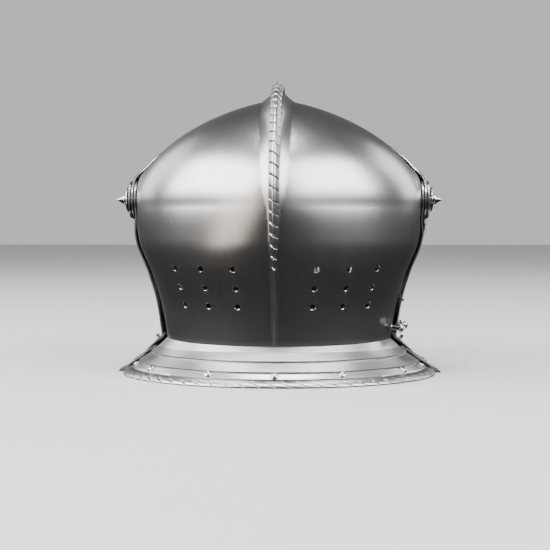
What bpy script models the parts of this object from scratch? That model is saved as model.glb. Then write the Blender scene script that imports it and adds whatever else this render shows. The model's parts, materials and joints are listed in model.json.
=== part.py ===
"""Close helmet of the sixteenth century: skull, visor, two bevors, laminated collar.

Axes: +X is the wearer's right, +Y is the way the wearer faces, +Z is up.  The collar
stands on z = 0.  Lengths are in metres; MM turns millimetres into them.
"""
import math

import bpy
import numpy as np
from mathutils import Matrix, Vector

MM = 0.001

# Overall form -----------------------------------------------------------------
MID_Y = -20.5 * MM          # the pivots' place, so that the helmet is centred on y = 0
PIVOT_Z = 161 * MM
DOME_Z = 155 * MM           # the widest level, where the dome starts
DOME_RISE = 97.2 * MM
HALF_WIDTH = 133 * MM
BACK_DEPTH = 123 * MM
FRONT_DEPTH = 128 * MM
DOME_POWER = 1.46           # below 2 draws the dome up into a keel under the comb
NAPE_POWER = 2.0
WAIST_Z = 33 * MM
WAIST_HALF = 103.5 * MM
WAIST_BACK = 90 * MM
WAIST_FRONT = 98 * MM

# Sheets -----------------------------------------------------------------------
SKULL_T = 1.6 * MM
PLATE_T = 1.4 * MM
LAME_T = 1.2 * MM
LAYER = 2.6 * MM            # from one plate's outer face to the next one's
WAIST_ROOM = 2.8 * MM       # more room between skull and bevor where the collar tucks in
PLATE_POWER = 1.65
GAP = 0.35 * MM             # between a shank and its hole, and under heads

# Comb and its roped crest -----------------------------------------------------
COMB_H = 16.8 * MM
COMB_HALF = 16 * MM
COMB_NECK = 3.2 * MM
ROPE_R = 5.3 * MM

# Face plates ------------------------------------------------------------------
RIDGE_WIDTH = 30 * MM       # how fast the medial ridge fades sideways
LOBE_R = 17 * MM            # rounded arm ends about the pivots
BOSS_HALF = 132.3 * MM      # skull's half-width at the pivots, where all layers are round
BOSS_DROP = 6.9             # and how fast that round falls away, per metre
BOSS_FADE = 34 * MM
NOTCH_HALF = 20 * MM        # the visor's notch over the comb
SIGHT_LOW, SIGHT_HIGH = 119.5 * MM, 126 * MM
SIGHT_IN, SIGHT_OUT = 11 * MM, 84 * MM
BREATHS = 5
BREATH_W = 3 * MM
BREATH_LOW, BREATH_HIGH = 76 * MM, 94 * MM

# Neck holes -------------------------------------------------------------------
HOLE_R = 2.6 * MM
HOLE_LEVELS = (100 * MM, 83.5 * MM, 67.5 * MM)
HOLE_ANGLES = (17.2, 32.2, 47.2)

# Collar -----------------------------------------------------------------------
RIM_HALF = 145 * MM
RIM_BACK = 116 * MM
RIM_FRONT = 136 * MM
LAME_TOPS = (33 * MM, 21.3 * MM, 12.8 * MM)
LAME_LAP = 4.4 * MM
LAME_STEP = 1.7 * MM
LAME_TUCK = 0.5 * MM        # between the collar's neck and the plate over it
ROLL_R = 2.8 * MM
LEATHER_T = 1.7 * MM

# Fasteners --------------------------------------------------------------------
RIM_RIVET_R = 3.7 * MM
RIM_RIVET_Z = 9.3 * MM
RIM_RIVET_ANGLES = (0, 26, 57.5, 80)
WAIST_RIVET_R = 3.2 * MM
WAIST_RIVET_Z = 28.6 * MM
WAIST_RIVET_ANGLES = (7.5, 172.5)
PIN_R = 1.2 * MM
BOLT_R = 2.4 * MM
SPIKE_R = 4.6 * MM
SPIKE_TIP = 152 * MM
ROSETTE_R = 11.6 * MM
ROSETTE_T = 2.2 * MM
NUT_R = 5.5 * MM
NUT_T = 3.0 * MM

HOOK_EYE = 4.4 * MM
HOOK_T = 1.8 * MM
STUD_R = 2.3 * MM

# Linings ----------------------------------------------------------------------
CAP_GAP = 3 * MM
CAP_T = 11 * MM
CAP_LOW = 121 * MM
BAND_LOW, BAND_HIGH = 105.5 * MM, 117.5 * MM

PHI_STEPS = 40              # facets round a full section

# Medial profiles of the face plates' outer faces: (height, depth) in millimetres.
VISOR_FRONT = ((98, 162), (122, 167.5), (135, 166.5), (161, 160), (199, 141),
               (221, 107), (236, 76), (242, 62))
UPPER_FRONT = ((48, 120), (58, 134), (70, 152), (85, 171), (100, 171),
               (112, 170.4), (135, 169.5), (161, 163), (180, 154))
LOWER_FRONT = ((33, 98), (42, 109), (50, 118), (60, 127), (70, 134), (85, 143),
               (100, 149), (120, 152), (161, 151), (180, 145))
# Height of the medial ridge over the rounded face, at the same kind of stations.
VISOR_RIDGE = ((98, 34), (122, 28), (161, 16), (199, 8), (240, 0))
UPPER_RIDGE = ((48, 16), (70, 34), (85, 42), (100, 36), (122, 28), (161, 16), (180, 12))
LOWER_RIDGE = ((33, 0), (50, 14), (70, 24), (100, 24), (161, 14), (180, 12))

# Side outlines (depth, height) in millimetres, from the front back to the pivot.
FACE_EDGE = ((14, 20), (14, 33), (20, 75), (27, 115), (34, 150), (44, 178), (62, 203),
             (84, 227), (110, 240))
VISOR_TOP = ((80, 240), (70, 236), (52, 229), (33, 217), (16.5, 202), (5, 187))
VISOR_LOW = ((200, 100), (160, 103), (135, 108.5), (100, 119), (60, 134), (22, 145))
UPPER_TOP = ((200, 107), (167, 107), (140, 113), (100, 124), (60, 139), (24, 162))
UPPER_LOW = ((200, 50), (123, 50), (90, 68), (52, 99), (12, 143))
LOWER_TOP = ((200, 70), (134, 70), (95, 88), (60, 112), (22, 146))
LOWER_BACK = ((-14, 140), (-10, 100), (-8, 62), (-6, 20))


# Small geometry helpers ---------------------------------------------------------
def smooth(stations, at, level_top=False):
    """Monotone cubic through (place, value) stations, held level past both ends."""
    place, value = np.array(sorted(stations), dtype=float).T
    step = np.diff(place)
    rise = np.diff(value) / step
    slope = np.concatenate([rise[:1], np.zeros(len(rise) - 1), rise[-1:]])
    same = rise[:-1] * rise[1:] > 0
    total = np.where(same, rise[:-1] + rise[1:], 1)
    slope[1:-1] = np.where(same, 2 * rise[:-1] * rise[1:] / total, 0)
    if level_top:
        slope[-1] = 0
    at = np.clip(np.asarray(at, dtype=float), place[0], place[-1])
    i = np.clip(np.searchsorted(place, at, side="right") - 1, 0, len(step) - 1)
    t = (at - place[i]) / step[i]
    h = step[i]
    return ((2 * t**3 - 3 * t**2 + 1) * value[i] + (t**3 - 2 * t**2 + t) * h * slope[i]
            + (3 * t**2 - 2 * t**3) * value[i + 1] + (t**3 - t**2) * h * slope[i + 1])


def in_mm(stations, at):
    """Same as smooth, for stations written in millimetres."""
    return smooth(stations, np.asarray(at) / MM) * MM


def side_width(z):
    """Half-width of the skull below the dome's level."""
    return smooth(((WAIST_Z, WAIST_HALF), (65 * MM, 108.8 * MM), (93 * MM, 117.4 * MM),
                   (125 * MM, 129.8 * MM), (DOME_Z, HALF_WIDTH)), z, level_top=True)


def dome_share(z, power):
    """How much of the full width is left at height z above the dome's level."""
    up = np.clip((z - DOME_Z) / DOME_RISE, 0, 1)
    return (1 - up**2) ** (1 / power)


def levelled(x, y, z, lift):
    """Turn the side round about the pivot axis near the pivots, so that layers slide."""
    reach = np.hypot(y - MID_Y, z - PIVOT_Z)
    share = np.clip((BOSS_FADE - reach) / (BOSS_FADE - LOBE_R), 0, 1)
    share = share**2 * (3 - 2 * share)
    boss = np.sign(x) * (BOSS_HALF + lift - BOSS_DROP * reach**2)
    return np.stack([x + share * (boss - x), y, z], axis=-1)


def skull_point(phi, z, out=0.0):
    """Point on the skull; phi runs from the wearer's right (0) by the front."""
    phi, z = np.broadcast_arrays(phi, z)
    wide = np.where(z > DOME_Z, HALF_WIDTH * dome_share(z, DOME_POWER), side_width(z))
    nape = smooth(((WAIST_Z, WAIST_BACK), (65 * MM, 98 * MM), (93 * MM, 110 * MM),
                   (125 * MM, 119.5 * MM), (DOME_Z, BACK_DEPTH)), z, level_top=True)
    brow = smooth(((WAIST_Z, WAIST_FRONT), (DOME_Z, FRONT_DEPTH)), z, level_top=True)
    deep = np.where(np.sin(phi) < 0, nape, brow) * dome_share(z, 2)
    power = smooth(((100 * MM, NAPE_POWER), (DOME_Z, DOME_POWER)), z)
    c, s = np.cos(phi), np.sin(phi)
    x = (wide + out) * np.sign(c) * np.abs(c) ** (2 / power)
    return levelled(x, MID_Y + (deep + out) * s, z, out)


def plate_point(layer, front, ridge):
    """Return the outer face of a face plate that lies `layer` sheets off the skull."""
    lift = layer * LAYER

    def point(phi, z, out=0.0):
        phi, z = np.broadcast_arrays(phi, z)
        above = (HALF_WIDTH + lift) * dome_share(z, PLATE_POWER)
        low = np.clip((DOME_Z - z) / (DOME_Z - WAIST_Z), 0, 1)
        below = side_width(z) + lift + WAIST_ROOM * low
        wide = np.where(z > DOME_Z, above, below) + out
        deep, keel = in_mm(front, z) + out, in_mm(ridge, z)
        c, s = np.cos(phi), np.sin(phi)
        x = wide * c
        y_front = (deep - keel) * s + keel * np.exp(-np.abs(x) / RIDGE_WIDTH)
        side = keel * np.exp(-wide / RIDGE_WIDTH)
        y_back = side + (BACK_DEPTH + lift) * s
        return levelled(x, MID_Y + np.where(s < 0, y_back, y_front), z, lift + out)
    return point


visor_point = plate_point(2, VISOR_FRONT, VISOR_RIDGE)
upper_point = plate_point(3, UPPER_FRONT, UPPER_RIDGE)
lower_point = plate_point(1, LOWER_FRONT, LOWER_RIDGE)


def collar_point(extra, front):
    """Return the flaring collar's mean face; `extra` widens the front set."""
    def point(phi, z, out=0.0):
        phi, z = np.broadcast_arrays(phi, z)
        flare = np.clip(1 - z / WAIST_Z, 0, 1)
        tuck = SKULL_T + LAME_TUCK
        neck = WAIST_HALF - tuck + extra
        wide = neck + (RIM_HALF + extra - neck) * flare
        back0, back1 = WAIST_BACK - tuck, RIM_BACK
        if front:
            fore0, fore1 = WAIST_FRONT - PLATE_T - LAME_TUCK, RIM_FRONT
        else:
            fore0, fore1 = WAIST_FRONT - tuck, RIM_FRONT
        back = back0 + extra + (back1 - back0) * flare
        fore = fore0 + (fore1 - fore0) * flare
        s = np.sin(phi)
        deep = np.where(s < 0, back, fore)
        return np.stack([(wide + out) * np.cos(phi), MID_Y + (deep + out) * s, z], axis=-1)
    return point


nape_point = collar_point(0, False)
gorget_point = collar_point(LAYER + WAIST_ROOM + SKULL_T - PLATE_T, True)


def spot(face, phi, z, out=0.0):
    """Point and outward normal of a face at one place."""
    e = 1e-4
    at = face(phi, z)
    along = face(phi + e, z) - face(phi - e, z)
    up = face(phi, z + e * 0.1) - face(phi, z - e * 0.1)
    normal = np.cross(along, up)
    normal = Vector(normal / np.linalg.norm(normal))
    return Vector(at) + normal * out, normal


def phi_at(face, y, z):
    """Angle on the wearer's right where the face passes depth y (from the pivots)."""
    phi = np.linspace(-1.2, 1.55, 400)
    return float(np.interp(MID_Y + y, face(phi, z)[:, 1], phi))


# Objects ------------------------------------------------------------------------
parts = None
cutters = None
finishes = {}

LOOKS = {
    "steel": ((0.42, 0.42, 0.42), 0.28, 1.0),
    "dark_steel": ((0.22, 0.22, 0.23), 0.36, 1.0),
    "leather": ((0.16, 0.08, 0.04), 0.65, 0.0),
    "linen": ((0.55, 0.49, 0.38), 0.9, 0.0),
}


def new_material(name, look):
    """Principled material of a sub-part."""
    colour, rough, metal = LOOKS[look]
    material = bpy.data.materials.new(name + "_finish")
    material.use_nodes = True
    shader = material.node_tree.nodes["Principled BSDF"]
    shader.inputs["Base Color"].default_value = (*colour, 1)
    shader.inputs["Roughness"].default_value = rough
    shader.inputs["Metallic"].default_value = metal
    material.diffuse_color = (*colour, 1)
    return material


def add(name, data, look, matrix=None):
    """Put a sub-part into the helmet's collection."""
    obj = bpy.data.objects.new(name, data)
    data.materials.append(new_material(name, look))
    if matrix is not None:
        obj.matrix_world = matrix
    parts.objects.link(obj)
    return obj


def add_cutter(name, data, matrix=None):
    """Put a cutting body into the cutters' collection."""
    obj = bpy.data.objects.new(name, data)
    obj.hide_render = True
    obj.display_type = "WIRE"
    if matrix is not None:
        obj.matrix_world = matrix
    cutters.objects.link(obj)
    return obj


def cut(obj, tool, operation="DIFFERENCE"):
    """Boolean with a cutting body."""
    mod = obj.modifiers.new(tool.name, "BOOLEAN")
    mod.operation = operation
    mod.solver = "EXACT"
    mod.object = tool


def mesh_of(name, points, faces):
    """Mesh from points and faces."""
    data = bpy.data.meshes.new(name)
    data.from_pydata([tuple(p) for p in points], [], faces)
    data.update()
    return data


def sheet(name, grid, wrap=False, cap=False):
    """Open sheet over a grid of points, rows upward and columns anticlockwise."""
    rows, cols = grid.shape[:2]
    last = cols if wrap else cols - 1
    faces = [(r * cols + c, r * cols + (c + 1) % cols,
              (r + 1) * cols + (c + 1) % cols, (r + 1) * cols + c)
             for r in range(rows - 1) for c in range(last)]
    if cap:
        faces.append(tuple((rows - 1) * cols + c for c in range(cols)))
    return mesh_of(name, grid.reshape(-1, 3), faces)


def bar(name, sections, closed=False):
    """Solid through a row of closed sections, each with the same number of points."""
    rows, cols = sections.shape[:2]
    last = rows if closed else rows - 1
    faces = [(r * cols + c, r * cols + (c + 1) % cols,
              (r + 1) % rows * cols + (c + 1) % cols, (r + 1) % rows * cols + c)
             for r in range(last) for c in range(cols)]
    if not closed:
        faces.append(tuple(range(cols))[::-1])
        faces.append(tuple((rows - 1) * cols + c for c in range(cols)))
    return mesh_of(name, sections.reshape(-1, 3), faces)


def thicken(obj, thickness):
    """Give a sheet its thickness, inward from its outer face."""
    mod = obj.modifiers.new("thickness", "SOLIDIFY")
    mod.thickness = thickness
    mod.offset = -1
    mod.use_even_offset = True


def flat(name, outlines, half):
    """Flat body from closed 2-D outlines, the later ones holes; half is half its depth."""
    curve = bpy.data.curves.new(name, "CURVE")
    curve.dimensions = "2D"
    curve.fill_mode = "BOTH"
    curve.extrude = half
    for outline in outlines:
        line = curve.splines.new("POLY")
        line.points.add(len(outline) - 1)
        line.use_cyclic_u = True
        for node, (u, v) in zip(line.points, outline):
            node.co = (u, v, 0, 1)
    holder = bpy.data.objects.new(name, curve)
    data = bpy.data.meshes.new_from_object(holder)
    bpy.data.objects.remove(holder)
    bpy.data.curves.remove(curve)
    weld(data)
    return data


def weld(data):
    """Join the doubled edge points that a filled curve leaves."""
    import bmesh
    work = bmesh.new()
    work.from_mesh(data)
    bmesh.ops.remove_doubles(work, verts=work.verts, dist=1e-6)
    bmesh.ops.recalc_face_normals(work, faces=work.faces)
    work.to_mesh(data)
    work.free()


def turned(name, profile, steps=12):
    """Body of revolution about local Z; profile is (radius, height), top to bottom."""
    rings = np.array(profile, dtype=float)
    turn = np.linspace(0, 2 * math.pi, steps, endpoint=False)
    points, faces, rows = [], [], []
    for radius, height in rings:
        if radius <= 0:
            rows.append([len(points)])
            points.append((0, 0, height))
        else:
            rows.append(list(range(len(points), len(points) + steps)))
            points += [(radius * math.cos(a), radius * math.sin(a), height) for a in turn]
    for upper, lower in zip(rows, rows[1:]):
        for i in range(steps):
            j = (i + 1) % steps
            a = [upper[i % len(upper)], lower[i % len(lower)],
                 lower[j % len(lower)], upper[j % len(upper)]]
            faces.append(tuple(dict.fromkeys(a)))
    return mesh_of(name, points, faces)


def tube(name, outer, inner, low, high, steps=16):
    """Ring-shaped body about local Z."""
    turn = np.linspace(0, 2 * math.pi, steps, endpoint=False)
    ring = np.stack([np.cos(turn), np.sin(turn)], axis=-1)
    section = ((inner, high), (outer, high), (outer, low), (inner, low))
    rows = np.array([[(r * c, r * s, h) for r, h in section] for c, s in ring])
    return bar(name, rows, closed=True)


def arc(centre, radius, start, end, steps):
    """Points on an arc, angles in degrees, both ends included."""
    a = np.radians(np.linspace(start, end, steps))
    return [(centre[0] + radius * math.cos(t), centre[1] + radius * math.sin(t)) for t in a]


def aim(point, normal, up=Vector((0, 0, 1))):
    """Placing matrix with local Z along the normal and local Y as near up as it gets."""
    z = normal.normalized()
    x = up.cross(z).normalized()
    y = z.cross(x)
    matrix = Matrix((x, y, z)).transposed().to_4x4()
    matrix.translation = point
    return matrix


SIDE_ON = Matrix(((0, 0, 1, 0), (1, 0, 0, 0), (0, 1, 0, 0), (0, 0, 0, 1)))
FRONT_ON = Matrix(((1, 0, 0, 0), (0, 0, -1, 0), (0, 1, 0, 0), (0, 0, 0, 1)))


def side_prism(name, outline):
    """Cutter that runs right across the helmet behind a side outline in millimetres."""
    local = [(MID_Y + y * MM, z * MM) for y, z in outline]
    return add_cutter(name, flat(name, [local], 220 * MM), SIDE_ON.copy())


def lobe(start, end, steps=12, radius=LOBE_R):
    """Arc about the pivot for a side outline, in millimetres."""
    return arc((0, PIVOT_Z / MM), radius / MM, start, end, steps)


def joined(name, bodies):
    """One cutter from several closed bodies given as (mesh, matrix)."""
    points, faces = [], []
    for data, matrix in bodies:
        base = len(points)
        points += [matrix @ v.co for v in data.vertices]
        faces += [tuple(base + v for v in p.vertices) for p in data.polygons]
        bpy.data.meshes.remove(data)
    return add_cutter(name, mesh_of(name, points, faces))


def drill(name, spots, radius, reach=8 * MM, steps=10):
    """Round cutters along the normals of several spots."""
    bodies = []
    for i, (point, normal) in enumerate(spots):
        pin = turned(f"{name}_{i}", ((0, reach), (radius, reach), (radius, -reach),
                                     (0, -reach)), steps)
        bodies.append((pin, aim(point, normal)))
    return joined(name, bodies)


def pivot_drill(name, radius, length=30 * MM):
    """Both pivot holes of a plate."""
    bodies = []
    for side in (1, -1):
        pin = turned(f"{name}_{side}", ((0, length), (radius, length), (radius, -length),
                                        (0, -length)), 16)
        place = aim(Vector((side * HALF_WIDTH, MID_Y, PIVOT_Z)), Vector((side, 0, 0)))
        bodies.append((pin, place))
    return joined(name, bodies)


# Skull --------------------------------------------------------------------------
def medial_line(steps=30):
    """Skull's middle line from brow to nape, and its outward normals, as (y, z)."""
    down = 97 * MM
    dome = np.radians(np.linspace(52, 180, steps))
    deep = np.where(np.cos(dome) > 0, FRONT_DEPTH, BACK_DEPTH)
    reach = 1 / np.hypot(np.cos(dome) / deep, np.sin(dome) / DOME_RISE)
    upper = np.stack([reach * np.cos(dome), DOME_Z + reach * np.sin(dome)], axis=-1)
    z = np.linspace(DOME_Z, down, steps // 3 + 1)[1:]
    lower = skull_point(-math.pi / 2, z)[:, 1:] - (MID_Y, 0)
    line = np.concatenate([upper, lower])
    run = np.gradient(line, axis=0)
    normal = np.stack([run[:, 1], -run[:, 0]], axis=-1)
    normal /= np.linalg.norm(normal, axis=1)[:, None]
    angle = np.degrees(np.arctan2(line[:, 1] - DOME_Z, line[:, 0])) % 360
    return line, normal, angle


def comb():
    """Raised comb with its crest bead, closed so that it fuses to the skull."""
    line, normal, angle = medial_line()
    tall = COMB_H * smooth(((52, 0.03), (65, 0.42), (90, 1), (120, 0.95), (150, 0.65),
                            (180, 0.42), (208, 0.05)), angle)
    base = COMB_HALF * smooth(((52, 0.2), (70, 0.7), (90, 1), (120, 0.9), (150, 0.62),
                               (180, 0.38), (208, 0.22)), angle)
    bead = np.minimum(ROPE_R, 0.9 * base)
    neck = np.minimum(COMB_NECK, 0.7 * bead)
    drop = 0.5 * 110 * MM * (base / HALF_WIDTH) ** 1.6
    sunk = 0.7 * MM
    right = [(base, -drop - sunk),
             (neck + (base - neck) * 0.35, 0.22 * tall),
             (neck + (base - neck) * 0.08, 0.5 * tall),
             (bead, np.maximum(tall - bead, 0.6 * tall)),
             (0.7 * bead, np.maximum(tall - 0.3 * bead, 0.85 * tall)),
             (0 * bead, tall)]
    left = [(-x, h) for x, h in right[-2::-1]]
    section = right + left + [(0 * bead, 0 * bead - sunk)]
    across = np.stack([x for x, _ in section], axis=1)
    height = np.stack([h for _, h in section], axis=1)
    y = MID_Y + line[:, :1] + normal[:, :1] * height
    z = line[:, 1:] + normal[:, 1:] * height
    return bar("comb", np.stack([across, y, z], axis=-1))


def skull():
    """Bowl with comb, face opening and neck holes."""
    rise = np.sin(np.radians(np.linspace(0, 84, 10)))
    z = np.concatenate([np.linspace(WAIST_Z, DOME_Z, 9)[:-1], DOME_Z + DOME_RISE * rise])
    phi = np.linspace(0, 2 * math.pi, PHI_STEPS, endpoint=False)
    obj = add("skull", sheet("skull", skull_point(phi[None, :], z[:, None]), True, True),
              "steel")
    thicken(obj, SKULL_T)
    cut(obj, add_cutter("comb_body", comb()), "UNION")
    heights = np.linspace(20, 240, 14)
    edge = smooth([(h, d) for d, h in FACE_EDGE], heights)
    outline = list(zip(edge, heights)) + [(200, 240), (200, 20)]
    cut(obj, side_prism("face_opening", outline[::-1]))
    holes = [spot(skull_point, math.radians(-90 + side * turn), level)
             for level in HOLE_LEVELS for turn in HOLE_ANGLES for side in (1, -1)]
    cut(obj, drill("neck_holes", holes, HOLE_R, steps=8))
    cut(obj, drill("catch_hole", [neck_hook.catch_hole()], PIN_R + GAP, steps=8))
    cut(obj, pivot_drill("skull_pivot_holes", BOLT_R + GAP))
    return obj


# Face plates --------------------------------------------------------------------
def face_plate(name, face, low, high, outline, rows):
    """Plate that wraps the face from pivot to pivot, trimmed to its side outline."""
    z = np.linspace(low, high, rows)
    step = 2 * math.pi / PHI_STEPS
    phi = np.arange(-2, PHI_STEPS // 2 + 3) * step
    obj = add(name, sheet(name, face(phi[None, :], z[:, None])), "steel")
    thicken(obj, PLATE_T)
    cut(obj, side_prism(name + "_outline", outline), "INTERSECT")
    return obj


def visor():
    """Visor with its sights, comb notch and peg hole."""
    outline = list(VISOR_LOW) + lobe(-60, -205) + list(VISOR_TOP[::-1]) + [(200, 240)]
    obj = face_plate("visor", visor_point, 98 * MM, 239 * MM, outline, 17)
    notch = [(-NOTCH_HALF * 1.2, 246 * MM), (-3 * MM, 225 * MM), (3 * MM, 225 * MM),
             (NOTCH_HALF * 1.2, 246 * MM)]
    place = FRONT_ON.copy()
    place.translation = (0, MID_Y + 100 * MM, 0)
    cut(obj, add_cutter("comb_notch", flat("comb_notch", [notch], 70 * MM), place))
    half = (SIGHT_HIGH - SIGHT_LOW) / 2
    mid = (SIGHT_HIGH + SIGHT_LOW) / 2
    bodies = []
    for side in (1, -1):
        ends = sorted((side * SIGHT_IN, side * SIGHT_OUT))
        slot = (arc((ends[1] - half, mid), half, -90, 90, 5)
                + arc((ends[0] + half, mid), half, 90, 270, 5))
        bodies.append((flat(f"sight_{side}", [slot], 55 * MM), place))
    cut(obj, joined("sights", bodies))
    cut(obj, drill("peg_hole", [peg_spot()], PIN_R + GAP))
    cut(obj, pivot_drill("visor_pivot_holes", BOLT_R + GAP))
    return obj


def upper_bevor():
    """Upper bevor with its breaths and the hole of its catch stud."""
    outline = list(UPPER_LOW) + lobe(-85, -300) + list(UPPER_TOP[::-1])
    obj = face_plate("upper_bevor", upper_point, 49 * MM, 179 * MM, outline, 16)
    place = FRONT_ON.copy()
    place.translation = (0, MID_Y + 130 * MM, 0)
    bodies = []
    for side in (1, -1):
        for i in range(BREATHS):
            x = side * (26 + 11 * i) * MM
            w = BREATH_W / 2
            slot = (arc((x, BREATH_HIGH - w), w, 0, 180, 4)
                    + arc((x, BREATH_LOW + w), w, 180, 360, 4))
            bodies.append((flat(f"breath_{side}_{i}", [slot], 60 * MM), place))
    cut(obj, joined("breaths", bodies))
    cut(obj, drill("upper_stud_hole", [bevor_hook.catch_hole()], PIN_R + GAP, 4 * MM))
    cut(obj, pivot_drill("upper_pivot_holes", BOLT_R + GAP))
    return obj


def lower_bevor():
    """Lower bevor, which carries the hooks' pivots and the front of the collar."""
    outline = list(LOWER_TOP) + lobe(55, 205) + list(LOWER_BACK) + [(200, 20)]
    obj = face_plate("lower_bevor", lower_point, WAIST_Z, 179 * MM, outline, 16)
    holes = [neck_hook.pivot_hole(), bevor_hook.pivot_hole(), edge_rivet_spot()]
    cut(obj, drill("lower_holes", holes, PIN_R + GAP, 4 * MM))
    cut(obj, pivot_drill("lower_pivot_holes", BOLT_R + GAP))
    return obj


# Collar -------------------------------------------------------------------------
def lame_profile(index):
    """Closed section of one lame as (height, outward offset), outer face first."""
    top = LAME_TOPS[index] + LAME_LAP
    low = LAME_TOPS[index + 1] - 0.3 * MM if index < 2 else 2 * ROLL_R
    thick = LAME_T * 1.5
    if index == 0:
        outer = [(top, 0), (WAIST_Z, 0), (low, LAME_STEP)]
    else:
        outer = [(top, -LAME_STEP), (low, LAME_STEP)]
    if index == 2:
        lip = 0.1 * LAME_STEP
        centre = (ROLL_R, lip - thick / 2)
        edge = 2 * ROLL_R + 1.2 * MM
        turn = np.radians(67.5 - 45 * np.arange(8))
        reach = ROLL_R / math.cos(math.pi / 8)
        roll = [(centre[0] + reach * math.sin(t), centre[1] + reach * math.cos(t))
                for t in turn[1:7]]
        inner = [(edge, lip - thick), (top, -LAME_STEP - thick)]
        return outer[:1] + [(edge, lip)] + roll + inner
    return outer + [(z, o - thick) for z, o in outer[::-1]]


def lame(name, face, index, start, end):
    """One lame of the collar between two angles in degrees."""
    profile = lame_profile(index)
    count = max(3, round((end - start) * PHI_STEPS / 360))
    phi = np.radians(np.linspace(start, end, count + 1))
    z = np.array([p[0] for p in profile])
    out = np.array([p[1] for p in profile])
    rows = face(phi[:, None], z[None, :], out[None, :])
    return add(name, bar(name, rows), "steel")


def collar(prefix, face, middle):
    """Three lames, their rivets and the leathers that carry them."""
    lap = (4, 4, -0.2)      # the lowest lames meet end to end, the others overlap
    lames = [lame(f"{prefix}_lame_{word}", face, i, middle - 90 - lap[i],
                  middle + 90 + lap[i])
             for i, word in enumerate(("upper", "middle", "lower"))]
    turns = sorted({side * a for a in RIM_RIVET_ANGLES for side in (1, -1)})
    spots = [spot(face, math.radians(middle + t), RIM_RIVET_Z) for t in turns]
    tool = drill(prefix + "_rivet_holes", spots, PIN_R + GAP, steps=8)
    cut(lames[2], tool)
    for i, (point, normal) in enumerate(spots):
        rivet(f"{prefix}_rim_rivet_{i + 1}", point, normal, RIM_RIVET_R,
              LAME_T + LEATHER_T + 3.7 * MM, steps=8)
    for i, t in enumerate((-57.5, 0, 57.5)):
        leather = collar_leather(f"{prefix}_leather_{i + 1}", face, middle + t)
        cut(leather, tool)
    return lames


def waist_rivets(lame_under):
    """Rivets of the front collar's top lame, one at each side."""
    spots = [spot(gorget_point, math.radians(angle), WAIST_RIVET_Z, 0.8 * MM)
             for angle in WAIST_RIVET_ANGLES]
    cut(lame_under, drill("waist_rivet_holes", spots, PIN_R + GAP, steps=8))
    for word, (point, normal) in zip(("right", "left"), spots):
        rivet(f"waist_rivet_{word}", point, normal, WAIST_RIVET_R, LAME_T + 2.2 * MM,
              steps=10)


def collar_leather(name, face, angle):
    """Leather strap behind the lames at one angle."""
    half = 6.5
    phi = np.radians(np.linspace(angle - half, angle + half, 4))
    z = np.array([31, 20, 6.5, 6.5, 20, 31]) * MM
    outer = -5.2 * MM
    inner = outer - LEATHER_T * 1.5
    out = np.array([outer, outer, outer, inner, inner, inner])
    rows = face(phi[:, None], z[None, :], out[None, :])
    return add(name, bar(name, rows), "leather")


# Fasteners ----------------------------------------------------------------------
def rivet(name, point, normal, radius, grip, look="steel", stand=0.3 * MM, tall=0.55,
          steps=12):
    """Domed rivet: head outside, shank through its hole and a clenched tail inside."""
    top = stand + radius * tall
    dome = [(radius * math.sin(a), stand + (top - stand) * math.cos(a))
            for a in np.radians((0, 32, 62, 90))]
    profile = dome + [(PIN_R, stand), (PIN_R, -grip), (PIN_R * 1.8, -grip),
                      (PIN_R * 1.8, -grip - 0.6 * MM), (0, -grip - 0.6 * MM)]
    return add(name, turned(name, profile, steps), look, aim(point, normal))


def pivots():
    """Spiked bolts, rosettes and nuts of both pivots."""
    outer = BOSS_HALF + 3 * LAYER
    for side, word in ((1, "right"), (-1, "left")):
        place = aim(Vector((0, MID_Y, PIVOT_Z)), Vector((side, 0, 0)))
        base = outer + ROSETTE_T + 2 * GAP
        nut_out = BOSS_HALF - SKULL_T - 4 * GAP
        end = nut_out - NUT_T - 0.8 * MM
        profile = ((0, SPIKE_TIP), (0.34 * SPIKE_R, SPIKE_TIP - 4 * MM),
                   (0.8 * SPIKE_R, base + 1.8 * MM), (SPIKE_R, base + 0.8 * MM),
                   (SPIKE_R, base), (BOLT_R, base), (BOLT_R, end), (0, end))
        add(f"pivot_bolt_{word}", turned("bolt", profile, 14), "steel", place)
        washer = tube("rosette", ROSETTE_R, BOLT_R + GAP, outer + GAP,
                      outer + GAP + ROSETTE_T, 20)
        add(f"pivot_rosette_{word}", washer, "steel", place)
        nut = tube("nut", NUT_R, BOLT_R + GAP, nut_out - NUT_T, nut_out, 6)
        add(f"pivot_nut_{word}", nut, "dark_steel", place)


def peg_spot():
    """Place of the visor's lifting peg, on the wearer's right."""
    return spot(visor_point, phi_at(visor_point, 112 * MM, 166 * MM), 166 * MM)


def visor_peg():
    """Turned peg by which the visor is lifted."""
    point, normal = peg_spot()
    profile = ((0, 17 * MM), (2.6 * MM, 16.2 * MM), (3.8 * MM, 13.6 * MM),
               (3 * MM, 11.4 * MM), (1.7 * MM, 9.6 * MM), (1.9 * MM, 3.4 * MM),
               (3.6 * MM, 2.2 * MM), (3.8 * MM, 0.9 * MM), (PIN_R, 0.9 * MM),
               (PIN_R, -2.4 * MM), (2.4 * MM, -2.4 * MM), (2.4 * MM, -3 * MM),
               (0, -3 * MM))
    add("visor_peg", turned("visor_peg", profile, 12), "steel", aim(point, normal))


def hook_outline(length):
    """Flat hook along local X whose mouth opens toward local +Y."""
    mouth = STUD_R + 0.5 * MM
    back = arc((0, 0), HOOK_EYE, 300, 90, 8)
    lower = [(length - mouth - 4 * MM, 2.6 * MM), (length - mouth - 2 * MM, 4.2 * MM),
             (length - mouth, 4.2 * MM)]
    seat = arc((length, 0), mouth, 180, 360, 7)
    tip = [(length + mouth, 3.4 * MM), (length + mouth + 1.6 * MM, 2.8 * MM)]
    over = arc((length, 0), mouth + 2.4 * MM, 10, -90, 6)
    return [back + lower + seat + tip + over,
            arc((0, 0), PIN_R + GAP + 0.5 * MM, 0, 324, 10)]


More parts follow.
